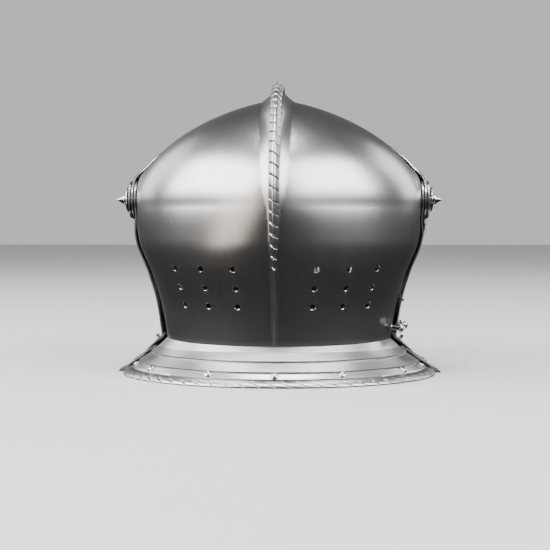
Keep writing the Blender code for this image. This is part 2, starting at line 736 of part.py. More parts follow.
def crook_outline(length):
    """Flat catch along local X with a notch at its end, open on the side and the end."""
    mouth = STUD_R + 0.5 * MM
    arm = mouth + 2.2 * MM
    back = arc((0, 0), HOOK_EYE, 40, 320, 10)
    lower = [(length - mouth - 3 * MM, -2.6 * MM)]
    seat = arc((length, 0), mouth, 200, 90, 6)
    upper = [(length + MM, mouth + 0.4 * MM), (length + MM, arm),
             (length - mouth - MM, arm), (length - mouth - 5 * MM, 2.6 * MM)]
    return [back + lower + seat + upper,
            arc((0, 0), PIN_R + GAP + 0.5 * MM, 0, 324, 10)]


class Hook:
    """Swivelling hook, the knob it turns on and the stud it catches."""

    def __init__(self, name, pivot, catch, rise, stand, knob_r, grip, outline):
        """Set the hook between its pivot's and its catch's (face, depth, height)."""
        self.name, self.rise, self.knob_r, self.grip = name, rise, knob_r, grip
        self.outline = outline
        (start, normal), (self.seat, seat_normal) = [
            spot(face, phi_at(face, y, z), z) for face, y, z in (pivot, catch)]
        start = start + normal * rise
        end = self.seat + seat_normal * stand
        along = (end - start).normalized()
        self.out = (normal - along * normal.dot(along)).normalized()
        self.place = Matrix((along, self.out.cross(along), self.out)).transposed().to_4x4()
        self.place.translation = start + self.out * HOOK_T / 2
        self.length = (end - start).length
        self.stand = (end - self.seat).dot(self.out)
        self.seat = end - self.out * self.stand

    def pivot_hole(self):
        """Where the knob's shank goes through the plate below it."""
        return self.place.translation - self.out * (self.rise + HOOK_T / 2), self.out

    def catch_hole(self):
        """Where the stud's shank goes through the plate below it."""
        return self.seat, self.out

    def make(self):
        """Add the three pieces."""
        add(self.name, flat(self.name, self.outline(self.length), HOOK_T / 2), "steel",
            self.place)
        low, high = -HOOK_T / 2, HOOK_T / 2 + GAP
        tail = low - self.rise - self.grip
        knob = [(self.knob_r * math.sin(a), high + self.knob_r * (0.9 + 0.9 * math.cos(a)))
                for a in np.radians((0, 40, 85, 130, 152))]
        knob += [(PIN_R + 0.4 * MM, high), (PIN_R + 0.4 * MM, low - GAP),
                 (PIN_R * 1.9, low - GAP), (PIN_R * 1.9, low - self.rise + 1.3 * MM),
                 (PIN_R, low - self.rise + 1.3 * MM), (PIN_R, tail), (PIN_R * 1.9, tail),
                 (PIN_R * 1.9, tail - 0.6 * MM), (0, tail - 0.6 * MM)]
        add(self.name + "_knob", turned(self.name + "_knob", knob, 10), "steel", self.place)
        top = self.stand + HOOK_T + GAP
        stud = ((0, top + 1.6 * MM), (2.4 * MM, top + 1.2 * MM), (3.4 * MM, top),
                (STUD_R, top), (STUD_R, 2 * MM), (3.2 * MM, 1.7 * MM),
                (3.2 * MM, 1.2 * MM), (PIN_R, 1.2 * MM), (PIN_R, -self.grip),
                (PIN_R * 1.9, -self.grip), (PIN_R * 1.9, -self.grip - 0.6 * MM),
                (0, -self.grip - 0.6 * MM))
        add(self.name + "_stud", turned(self.name + "_stud", stud, 10), "steel",
            aim(self.seat, self.out))


neck_hook = Hook("neck_hook", (lower_point, 22 * MM, 44 * MM),
                 (skull_point, -24 * MM, 45 * MM), 5.2 * MM, 9.4 * MM, 3.6 * MM, 3 * MM,
                 hook_outline)
bevor_hook = Hook("bevor_hook", (lower_point, 78 * MM, 60 * MM),
                  (upper_point, 88 * MM, 93 * MM), 8.2 * MM, 3.8 * MM, 3.2 * MM, 3 * MM,
                  crook_outline)


def edge_rivet_spot():
    """Small rivet near the lower bevor's back edge."""
    return spot(lower_point, phi_at(lower_point, -3 * MM, 69 * MM), 69 * MM)


# Linings ------------------------------------------------------------------------
def liner_cap():
    """Quilted cap inside the skull."""
    rise = np.sin(np.radians(np.linspace(0, 80, 7)))
    low = np.linspace(CAP_LOW, DOME_Z, 4)[:-1]
    z = np.concatenate([low, DOME_Z + (DOME_RISE - CAP_GAP) * rise])
    phi = np.linspace(0, 2 * math.pi, 28, endpoint=False)
    stretch = np.where(z > DOME_Z, DOME_Z + (z - DOME_Z) * DOME_RISE
                       / (DOME_RISE - CAP_GAP), z)
    grid = skull_point(phi[None, :], stretch[:, None], -CAP_GAP)
    grid[..., 2] = z[:, None]
    obj = add("liner_cap", sheet("liner_cap", grid, True, True), "linen")
    thicken(obj, CAP_T)
    heights = np.linspace(100, 240, 9)
    edge = smooth([(h, d - 8) for d, h in FACE_EDGE], heights)
    outline = list(zip(edge, heights)) + [(200, 240), (200, 100)]
    cut(obj, side_prism("cap_front", outline[::-1]))
    cut(obj, pivot_drill("cap_reliefs", NUT_R + 4 * MM, 40 * MM))


def lining_band():
    """Leather band round the skull's inside, to which the cap is sewn."""
    phi = np.radians(np.linspace(-188, 8, 27))
    z = np.array([BAND_HIGH, BAND_LOW, BAND_LOW, BAND_HIGH])
    outer, inner = -SKULL_T - 1.1 * MM, -SKULL_T - 1.1 * MM - LEATHER_T
    out = np.array([outer, outer, inner, inner])
    rows = skull_point(phi[:, None], z[None, :], out[None, :])
    add("lining_band", bar("lining_band", rows), "leather")


def chin_pad():
    """Pad inside the lower bevor."""
    phi = np.radians(np.linspace(42, 138, 15))
    z = np.array([66, 40, 42, 64]) * MM
    out = np.array([-4.2, -4.2, -14, -14]) * MM
    rows = lower_point(phi[:, None], z[None, :], out[None, :])
    add("chin_pad", bar("chin_pad", rows), "linen")


def build():
    """Model the whole helmet."""
    skull()
    lower_bevor()
    upper_bevor()
    visor()
    collar("nape", nape_point, -90)
    waist_rivets(collar("gorget", gorget_point, 90)[0])
    pivots()
    visor_peg()
    neck_hook.make()
    bevor_hook.make()
    point, normal = edge_rivet_spot()
    rivet("edge_rivet", point, normal, 2.8 * MM, PLATE_T + 0.2 * MM, steps=10)
    liner_cap()
    lining_band()
    chin_pad()


for old in list(bpy.data.objects):
    bpy.data.objects.remove(old)
parts = bpy.data.collections.new("close_helmet")
cutters = bpy.data.collections.new("cutters")
bpy.context.scene.collection.children.link(parts)
bpy.context.scene.collection.children.link(cutters)
build()
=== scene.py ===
"""Looks of a close helmet: steel plates, roped comb and rims, leather and quilted linen."""

import json
import logging
import math
from dataclasses import dataclass
from enum import Enum
from typing import Callable, Optional, Sequence

import bmesh
import bpy
import numpy as np
from mathutils import Matrix, Vector

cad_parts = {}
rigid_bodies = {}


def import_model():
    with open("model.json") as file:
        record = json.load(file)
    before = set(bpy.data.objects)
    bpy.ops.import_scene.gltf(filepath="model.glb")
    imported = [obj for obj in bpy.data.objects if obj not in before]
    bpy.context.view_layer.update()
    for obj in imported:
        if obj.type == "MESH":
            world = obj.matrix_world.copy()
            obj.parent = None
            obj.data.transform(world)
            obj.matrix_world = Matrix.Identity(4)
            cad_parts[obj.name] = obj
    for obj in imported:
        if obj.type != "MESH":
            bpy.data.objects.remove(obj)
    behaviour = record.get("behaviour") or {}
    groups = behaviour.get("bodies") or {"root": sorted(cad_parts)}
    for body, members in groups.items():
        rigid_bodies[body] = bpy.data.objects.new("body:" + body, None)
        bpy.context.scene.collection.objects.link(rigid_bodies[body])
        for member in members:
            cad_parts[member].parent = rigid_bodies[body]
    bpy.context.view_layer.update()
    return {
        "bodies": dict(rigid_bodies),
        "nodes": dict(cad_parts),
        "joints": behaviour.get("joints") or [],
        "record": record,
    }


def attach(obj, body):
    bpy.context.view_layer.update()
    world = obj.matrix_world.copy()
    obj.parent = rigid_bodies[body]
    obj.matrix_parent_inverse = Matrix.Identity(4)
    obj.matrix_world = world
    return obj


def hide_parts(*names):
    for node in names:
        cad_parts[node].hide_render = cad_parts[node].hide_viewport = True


log = logging.getLogger("helmet")

MM = 0.001
Array = np.ndarray
Stations = Sequence[tuple[float, float]]
Face = Callable[..., Array]


class Slot(Enum):
    """Material slots of the helmet."""

    STEEL = "steel"
    RIVET = "rivet_steel"
    DARK = "dark_steel"
    LEATHER = "leather"
    LINEN = "linen"


class Lay(Enum):
    """Which way the polishing strokes run."""

    UPRIGHT = "upright"
    ROUND = "round"


# Curves ------------------------------------------------------------------------
def smooth(stations: Stations, at: Array, level_top: bool = False) -> Array:
    """Monotone cubic through stations, held level past both ends.

    Args:
        stations: Places and values.
        at: Places to read.
        level_top: Whether the curve arrives level at its last station.

    Returns:
        The values at those places.
    """
    place, value = np.array(sorted(stations), dtype=float).T
    step = np.diff(place)
    rise = np.diff(value) / step
    slope = np.concatenate([rise[:1], np.zeros(len(rise) - 1), rise[-1:]])
    same = rise[:-1] * rise[1:] > 0
    total = np.where(same, rise[:-1] + rise[1:], 1)
    slope[1:-1] = np.where(same, 2 * rise[:-1] * rise[1:] / total, 0)
    if level_top:
        slope[-1] = 0
    at = np.clip(np.asarray(at, dtype=float), place[0], place[-1])
    i = np.clip(np.searchsorted(place, at, side="right") - 1, 0, len(step) - 1)
    t = (at - place[i]) / step[i]
    h = step[i]
    return ((2 * t**3 - 3 * t**2 + 1) * value[i] + (t**3 - 2 * t**2 + t) * h * slope[i]
            + (3 * t**2 - 2 * t**3) * value[i + 1] + (t**3 - t**2) * h * slope[i + 1])


def in_mm(stations: Stations, at: Array) -> Array:
    """Read stations written in millimetres at places in metres."""
    return smooth(stations, np.asarray(at) / MM) * MM


def flow(points: Sequence[tuple[float, float]],
         count: int = 48) -> list[tuple[float, float]]:
    """Smooth open line through points.

    Each coordinate is a cubic Hermite of the chord length, whose slopes are the
    central differences of the neighbours.

    Args:
        points: Points of the line.
        count: Number of points wanted.

    Returns:
        Points evenly spaced along the chord length.
    """
    p = np.array(points, dtype=float)
    run = run_along(p)
    slope = np.gradient(p, run, axis=0)
    at = np.linspace(0, run[-1], count)
    i = np.clip(np.searchsorted(run, at, side="right") - 1, 0, len(run) - 2)
    h = (run[i + 1] - run[i])[:, None]
    t = ((at - run[i]) / h[:, 0])[:, None]
    line = ((2 * t**3 - 3 * t**2 + 1) * p[i] + (t**3 - 2 * t**2 + t) * h * slope[i]
            + (3 * t**2 - 2 * t**3) * p[i + 1] + (t**3 - t**2) * h * slope[i + 1])
    return [tuple(q) for q in line]


def run_along(line: Array) -> Array:
    """Distance along a line to each of its points, from the first."""
    return np.concatenate([[0], np.cumsum(np.linalg.norm(np.diff(line, axis=0), axis=1))])


def arc(centre: tuple[float, float], radius: float, start: float, end: float,
        steps: int) -> list[tuple[float, float]]:
    """Points on an arc between two angles in degrees, both ends included."""
    a = np.radians(np.linspace(start, end, steps))
    return list(zip(centre[0] + radius * np.cos(a), centre[1] + radius * np.sin(a)))


def notch(phase: Array, width: float) -> Array:
    """Depth of a row of filed cuts: 1 in the middle of each cut, 0 beside it.

    The depth falls as a raised cosine over `width`, a share of the pitch.
    """
    away = np.abs((phase + 0.5) % 1 - 0.5) / width
    return np.where(away < 1, 0.5 + 0.5 * np.cos(math.pi * np.minimum(away, 1)), 0)


# Meshes ------------------------------------------------------------------------
def grid_faces(rows: int, cols: int, wrap_rows: bool = False,
               wrap_cols: bool = False) -> list[tuple[int, ...]]:
    """Quads of a grid of points, rows going up and columns anticlockwise."""
    r, c = np.meshgrid(np.arange(rows if wrap_rows else rows - 1),
                       np.arange(cols if wrap_cols else cols - 1), indexing="ij")
    right, up = (c + 1) % cols, (r + 1) % rows
    quads = np.stack([r * cols + c, r * cols + right, up * cols + right, up * cols + c],
                     axis=-1)
    return [tuple(q) for q in quads.reshape(-1, 4).tolist()]


def mesh_of(name: str, points: Array, faces: list[tuple[int, ...]]) -> bpy.types.Mesh:
    """Make a mesh from points and faces."""
    data = bpy.data.meshes.new(name)
    data.from_pydata(np.asarray(points).reshape(-1, 3).tolist(), [], faces)
    data.update()
    return data


def sheet(name: str, grid: Array, wrap: bool = False, cap: bool = False) -> bpy.types.Mesh:
    """Open sheet over a grid of points, with an optional lid over the last row."""
    rows, cols = grid.shape[:2]
    faces = grid_faces(rows, cols, wrap_cols=wrap)
    if cap:
        faces.append(tuple((rows - 1) * cols + c for c in range(cols)))
    return mesh_of(name, grid, faces)


def bar(name: str, sections: Array, closed: bool = False) -> bpy.types.Mesh:
    """Solid through a row of closed sections with the same number of points."""
    rows, cols = sections.shape[:2]
    faces = grid_faces(rows, cols, wrap_rows=closed, wrap_cols=True)
    if not closed:
        faces.append(tuple(range(cols))[::-1])
        faces.append(tuple((rows - 1) * cols + c for c in range(cols)))
    return mesh_of(name, sections, faces)


def place_mesh(data: bpy.types.Mesh, matrix: Matrix) -> bpy.types.Mesh:
    """Move a mesh to its place in the helmet."""
    data.transform(matrix)
    return data


def turned(name: str, profile: Sequence[tuple[float, float]], steps: int = 40,
           matrix: Optional[Matrix] = None) -> bpy.types.Mesh:
    """Body of revolution about local Z.

    Each profile point (radius, height), read from top to bottom, sweeps a circle, so
    a point is (radius * cos, radius * sin, height).

    Args:
        name: Name of the mesh.
        profile: Profile that starts and ends on the axis.
        steps: Points round a circle.
        matrix: Place of the body.

    Returns:
        The closed mesh.
    """
    ring = np.array(profile, dtype=float)
    turn = np.linspace(0, 2 * math.pi, steps, endpoint=False)
    inner = ring[1:-1]
    points = np.stack([inner[:, :1] * np.cos(turn), inner[:, :1] * np.sin(turn),
                       np.repeat(inner[:, 1:], steps, axis=1)], axis=-1)
    rows = len(inner)
    quads = grid_faces(rows, steps, wrap_cols=True)
    faces = [tuple(reversed(q)) for q in quads]
    top, low = rows * steps, rows * steps + 1
    last = (rows - 1) * steps
    faces += [(top, c, (c + 1) % steps) for c in range(steps)]
    faces += [(low, last + (c + 1) % steps, last + c) for c in range(steps)]
    ends = np.array([[0, 0, ring[0, 1]], [0, 0, ring[-1, 1]]])
    data = mesh_of(name, np.concatenate([points.reshape(-1, 3), ends]), faces)
    return place_mesh(data, matrix) if matrix is not None else data


def spun(name: str, radius: Array, turn: Array, height: Array,
         matrix: Matrix) -> bpy.types.Mesh:
    """Ring about local Z from the radii and heights of its closed section at each turn."""
    rows = np.stack([radius * np.cos(turn), radius * np.sin(turn), height + 0 * turn],
                    axis=-1)
    return place_mesh(bar(name, rows[:, ::-1], closed=True), matrix)


def flat(name: str, outlines: Sequence[Sequence[tuple[float, float]]], half: float,
         bevel: float = 0.0) -> bpy.types.Mesh:
    """Flat body from closed outlines, the later ones holes.

    Args:
        name: Name of the mesh.
        outlines: Closed lines in the local XY plane.
        half: Half of its thickness.
        bevel: Size of the chamfer all round.

    Returns:
        The closed mesh.
    """
    curve = bpy.data.curves.new(name, "CURVE")
    curve.dimensions, curve.fill_mode = "2D", "BOTH"
    curve.extrude = half - bevel
    curve.bevel_depth, curve.bevel_resolution, curve.offset = bevel, 1, -bevel
    for outline in outlines:
        line = curve.splines.new("POLY")
        line.points.add(len(outline) - 1)
        line.use_cyclic_u = True
        for node, (u, v) in zip(line.points, outline):
            node.co = (u, v, 0, 1)
    holder = bpy.data.objects.new(name, curve)
    data = bpy.data.meshes.new_from_object(holder)
    bpy.data.objects.remove(holder)
    bpy.data.curves.remove(curve)
    work = bmesh.new()
    work.from_mesh(data)
    bmesh.ops.remove_doubles(work, verts=work.verts, dist=1e-6)
    bmesh.ops.recalc_face_normals(work, faces=work.faces)
    work.to_mesh(data)
    work.free()
    return data


def aim(point: Vector, normal: Vector) -> Matrix:
    """Placing matrix with local Z along a normal and local Y as near up as it gets."""
    z = normal.normalized()
    x = Vector((0, 0, 1)).cross(z).normalized()
    matrix = Matrix((x, z.cross(x), z)).transposed().to_4x4()
    matrix.translation = point
    return matrix


def joined(name: str, bodies: Sequence[bpy.types.Mesh]) -> bpy.types.Mesh:
    """One mesh from several closed ones."""
    points = [v.co[:] for data in bodies for v in data.vertices]
    faces: list[tuple[int, ...]] = []
    base = 0
    for data in bodies:
        faces += [tuple(base + v for v in p.vertices) for p in data.polygons]
        base += len(data.vertices)
        bpy.data.meshes.remove(data)
    return mesh_of(name, points, faces)


def carved(data: bpy.types.Mesh, tools: Sequence[tuple[str, bpy.types.Mesh]],
           wall: float = 0.0, bevel: float = 0.0,
           tolerant: Sequence[str] = ()) -> bpy.types.Mesh:
    """Thicken a sheet and cut it with closed bodies.

    Args:
        data: Sheet or solid to work on.
        tools: Operation names and the bodies they use, in order.
        wall: Thickness given inwards first, if any.
        bevel: Size of the small round put on the cut edges.
        tolerant: Names of the tools that need the slower, safer cut.

    Returns:
        The finished mesh.
    """
    name = data.name
    work = bpy.data.objects.new(name, data)
    bpy.context.scene.collection.objects.link(work)
    if wall:
        mod = work.modifiers.new("wall", "SOLIDIFY")
        mod.thickness, mod.offset, mod.use_even_offset = wall, -1, True
    helpers = []
    for operation, tool in tools:
        helper = bpy.data.objects.new(tool.name, tool)
        bpy.context.scene.collection.objects.link(helper)
        helpers.append(helper)
        mod = work.modifiers.new(tool.name, "BOOLEAN")
        mod.operation, mod.solver, mod.object = operation, "EXACT", helper
        mod.use_hole_tolerant = tool.name in tolerant
    if bevel:
        mod = work.modifiers.new("edge", "BEVEL")
        mod.width, mod.segments, mod.limit_method = bevel, 1, "ANGLE"
        mod.angle_limit, mod.use_clamp_overlap = math.radians(50), True
    graph = bpy.context.evaluated_depsgraph_get()
    done = bpy.data.meshes.new_from_object(work.evaluated_get(graph))
    for extra in (work, *helpers):
        old = extra.data
        bpy.data.objects.remove(extra)
        bpy.data.meshes.remove(old)
    done.name = name
    return done


# Form --------------------------------------------------------------------------
@dataclass(frozen=True)
class Form:
    """Shared shape of the helmet; lengths in metres."""

    mid_y: float = -20.5 * MM
    pivot_z: float = 161 * MM
    dome_z: float = 155 * MM
    dome_rise: float = 97.2 * MM
    half_width: float = 133 * MM
    back_depth: float = 123 * MM
    front_depth: float = 128 * MM
    dome_power: float = 1.46
    waist_z: float = 33 * MM
    waist_half: float = 103.5 * MM
    waist_back: float = 90 * MM
    waist_front: float = 98 * MM
    layer: float = 2.6 * MM
    waist_room: float = 2.8 * MM
    plate_power: float = 1.65
    ridge_width: float = 30 * MM
    lobe_r: float = 17 * MM
    boss_half: float = 132.3 * MM
    boss_drop: float = 6.9
    boss_fade: float = 34 * MM
    rim_half: float = 145 * MM
    rim_back: float = 116 * MM
    rim_front: float = 136 * MM
    tuck: float = 0.5 * MM
    skull_t: float = 1.6 * MM
    plate_t: float = 1.4 * MM

    def side_width(self, z: Array) -> Array:
        """Half-width of the skull below the dome's level, through five stations."""
        return smooth(((self.waist_z, self.waist_half), (65 * MM, 108.8 * MM),
                       (93 * MM, 117.4 * MM), (125 * MM, 129.8 * MM),
                       (self.dome_z, self.half_width)), z, level_top=True)

    def dome_share(self, z: Array, power: float) -> Array:
        """Share of the width left above the dome's level: (1 - up^2)^(1 / power)."""
        up = np.clip((z - self.dome_z) / self.dome_rise, 0, 1)
        return (1 - up**2) ** (1 / power)

    def levelled(self, x: Array, y: Array, z: Array, lift: Array) -> Array:
        """Blend the side into a paraboloid about the pivot axis near the pivots."""
        reach = np.hypot(y - self.mid_y, z - self.pivot_z)
        share = np.clip((self.boss_fade - reach) / (self.boss_fade - self.lobe_r), 0, 1)
        share = share**2 * (3 - 2 * share)
        boss = np.sign(x) * (self.boss_half + lift - self.boss_drop * reach**2)
        return np.stack(np.broadcast_arrays(x + share * (boss - x), y, z), axis=-1)

    def skull(self, phi: Array, z: Array, out: Array = 0.0) -> Array:
        """Point on the skull: a superellipse at each level, its power falling upward.

        Args:
            phi: Angle from the wearer's right by the front.
            z: Height.
            out: Distance outward from the face.

        Returns:
            Points, one for each angle and height.
        """
        phi, z = np.broadcast_arrays(phi, z)
        wide = np.where(z > self.dome_z,
                        self.half_width * self.dome_share(z, self.dome_power),
                        self.side_width(z))
        nape = smooth(((self.waist_z, self.waist_back), (65 * MM, 98 * MM),
                       (93 * MM, 110 * MM), (125 * MM, 119.5 * MM),
                       (self.dome_z, self.back_depth)), z, level_top=True)
        brow = smooth(((self.waist_z, self.waist_front), (self.dome_z, self.front_depth)),
                      z, level_top=True)
        deep = np.where(np.sin(phi) < 0, nape, brow) * self.dome_share(z, 2)
        power = smooth(((100 * MM, 2.0), (self.dome_z, self.dome_power)), z)
        c, s = np.cos(phi), np.sin(phi)
        x = (wide + out) * np.sign(c) * np.abs(c) ** (2 / power)
        return self.levelled(x, self.mid_y + (deep + out) * s, z, out)

    def plate(self, layer: int, front: Stations, ridge: Stations) -> Face:
        """Outer face of a face plate.

        The front is a half ellipse plus a medial ridge that fades as exp(-x / width).

        Args:
            layer: How many sheets it lies off the skull.
            front: Medial profile, height and depth in millimetres.
            ridge: Height of the ridge, height and size in millimetres.

        Returns:
            A function of angle, height and outward distance.
        """
        lift = layer * self.layer

        def point(phi: Array, z: Array, out: Array = 0.0) -> Array:
            """Point of the plate at an angle and height."""
            phi, z = np.broadcast_arrays(phi, z)
            above = (self.half_width + lift) * self.dome_share(z, self.plate_power)
            low = np.clip((self.dome_z - z) / (self.dome_z - self.waist_z), 0, 1)
            below = self.side_width(z) + lift + self.waist_room * low
            wide = np.where(z > self.dome_z, above, below) + out
            deep, keel = in_mm(front, z) + out, in_mm(ridge, z)
            c, s = np.cos(phi), np.sin(phi)
            x = wide * c
            y_front = (deep - keel) * s + keel * np.exp(-np.abs(x) / self.ridge_width)
            y_back = keel * np.exp(-wide / self.ridge_width) + (self.back_depth + lift) * s
            return self.levelled(x, self.mid_y + np.where(s < 0, y_back, y_front), z,
                                 lift + out)
        return point

    def collar(self, extra: float, front: bool) -> Face:
        """Flaring collar: an ellipse that widens in a straight line down to the rim."""
        tuck = self.skull_t + self.tuck

        def point(phi: Array, z: Array, out: Array = 0.0) -> Array:
            """Point of the collar at an angle and height."""
            phi, z = np.broadcast_arrays(phi, z)
            flare = np.clip(1 - z / self.waist_z, 0, 1)
            neck = self.waist_half - tuck + extra
            wide = neck + (self.rim_half + extra - neck) * flare
            back0 = self.waist_back - tuck
            fore0 = self.waist_front - (self.plate_t + self.tuck if front else tuck)
            back = back0 + extra + (self.rim_back - back0) * flare
            fore = fore0 + (self.rim_front - fore0) * flare
            s = np.sin(phi)
            deep = np.where(s < 0, back, fore)
            return np.stack([(wide + out) * np.cos(phi), self.mid_y + (deep + out) * s, z],
                            axis=-1)
        return point


FORM = Form()
VISOR_FACE = FORM.plate(2, ((98, 162), (122, 167.5), (135, 166.5), (161, 160), (199, 141),
                            (221, 107), (236, 76), (242, 62)),
                        ((98, 34), (122, 28), (161, 16), (199, 8), (240, 0)))
UPPER_FACE = FORM.plate(3, ((48, 120), (58, 134), (70, 152), (85, 171), (100, 171),
                            (112, 170.4), (135, 169.5), (161, 163), (180, 154)),
                        ((48, 16), (70, 34), (85, 42), (100, 36), (122, 28), (161, 16),
                         (180, 12)))
LOWER_FACE = FORM.plate(1, ((33, 98), (42, 109), (50, 118), (60, 127), (70, 134),
                            (85, 143), (100, 149), (120, 152), (161, 151), (180, 145)),
                        ((33, 0), (50, 14), (70, 24), (100, 24), (161, 14), (180, 12)))
NAPE_FACE = FORM.collar(0, False)
GORGET_FACE = FORM.collar(FORM.layer + FORM.waist_room + FORM.skull_t - FORM.plate_t, True)

# Side outlines (depth from the pivots, height) in millimetres
FACE_EDGE = ((14, 20), (14, 33), (20, 75), (27, 115), (34, 150), (44, 178), (62, 203),
             (84, 227), (110, 240))
VISOR_TOP = ((80, 240), (70, 236), (52, 229), (33, 217), (16.5, 202), (5, 187))
VISOR_LOW = ((200, 100), (160, 103), (135, 108.5), (100, 119), (60, 134), (22, 145))
UPPER_TOP = ((200, 107), (167, 107), (140, 113), (100, 124), (60, 139), (24, 162))
UPPER_LOW = ((200, 50), (123, 50), (90, 68), (52, 99), (12, 143))
LOWER_TOP = ((200, 70), (134, 70), (95, 88), (60, 112), (22, 146))
LOWER_BACK = ((-14, 140), (-10, 100), (-8, 62), (-6, 20))

PIN_R = 1.2 * MM
BOLT_R = 2.4 * MM
GAP = 0.35 * MM
SIDE_ON = Matrix(((0, 0, 1, 0), (1, 0, 0, 0), (0, 1, 0, 0), (0, 0, 0, 1)))
FRONT_ON = Matrix(((1, 0, 0, 0), (0, 0, -1, 0), (0, 1, 0, 0), (0, 0, 0, 1)))


def spot(face: Face, phi: float, z: float, out: float = 0.0) -> tuple[Vector, Vector]:
    """Point and outward normal of a face, the normal crossed from small steps."""
    e = 1e-4
    along = face(phi + e, z) - face(phi - e, z)
    up = face(phi, z + e * 0.1) - face(phi, z - e * 0.1)
    normal = np.cross(along, up)
    normal = Vector(normal / np.linalg.norm(normal))
    return Vector(face(phi, z)) + normal * out, normal


def phi_at(face: Face, y: float, z: float) -> float:
    """Angle on the wearer's right where a face passes a depth from the pivots."""
    phi = np.linspace(-1.2, 1.55, 400)
    return float(np.interp(FORM.mid_y + y, face(phi, z)[:, 1], phi))


def face_spot(face: Face, y: float, z: float) -> tuple[Vector, Vector]:
    """Point and normal on the wearer's right at a depth and height."""
    return spot(face, phi_at(face, y, z), z)


def lobe(start: float, end: float) -> list[tuple[float, float]]:
    """Arc about the pivot for a side outline, in millimetres."""
    return arc((0, FORM.pivot_z / MM), FORM.lobe_r / MM, start, end, 36)


def side_prism(name: str, outline: Sequence[tuple[float, float]]) -> bpy.types.Mesh:
    """Closed body that runs right across the helmet behind a side outline."""
    local = [(FORM.mid_y + y * MM, z * MM) for y, z in outline]
    return place_mesh(flat(name, [local], 220 * MM), SIDE_ON)


def drill(name: str, spots: Sequence[tuple[Vector, Vector]], radius: float,
          reach: float = 8 * MM, flare: float = 0.0, steps: int = 24) -> bpy.types.Mesh:
    """Round cutters along normals, with an optional countersink of size `flare`."""
    wide, above = radius + flare, 2 * MM
    mouth = [(wide + above, above), (wide, 0), (radius, -flare)] if flare else [(radius, 0)]
    profile = [(0, reach), (mouth[0][0], reach), *mouth, (radius, -reach), (0, -reach)]
    return joined(name, [turned(f"{name}_{i}", profile, steps, aim(point, normal))
                         for i, (point, normal) in enumerate(spots)])


def pivot_drill(name: str, radius: float) -> bpy.types.Mesh:
    """Both pivot holes of a plate."""
    spots = [(Vector((side * FORM.half_width, FORM.mid_y, FORM.pivot_z)),
              Vector((side, 0, 0))) for side in (1, -1)]
    return drill(name, spots, radius, 30 * MM)


# Pieces --------------------------------------------------------------------------
class Dresser:
    """Puts finished meshes into the scene with body, finish and the node they replace."""

    def __init__(self, frame: dict, finishes: dict[str, bpy.types.Material]) -> None:
        """Keep the frame's bodies and the finishes."""
        bodies = frame["record"]["behaviour"]["bodies"]
        self.body = {node: body for body, nodes in bodies.items() for node in nodes}
        self.finishes = finishes

    def dress(self, name: str, data: bpy.types.Mesh, nodes: Sequence[str], slot: Slot,
              finish: str, crease: float = 38) -> bpy.types.Object:
        """Show a mesh in place of CAD nodes.

        Args:
            name: Name of the piece.
            data: Its finished mesh.
            nodes: CAD nodes it stands for, all on one body.
            slot: Material slot; not used.
            finish: Name of the finish it wears.
            crease: Angle in degrees past which an edge stays sharp.

        Returns:
            The piece.
        """
        data.name = name
        data.shade_smooth()
        data.set_sharp_from_angle(angle=math.radians(crease))
        data.materials.clear()
        data.materials.append(self.finishes[finish])
        piece = bpy.data.objects.new(name, data)
        bpy.context.scene.collection.objects.link(piece)
        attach(piece, self.body[nodes[0]])
        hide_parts(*nodes)
        log.info("%s: %d faces for %s", name, len(data.polygons), ", ".join(nodes))
        return piece


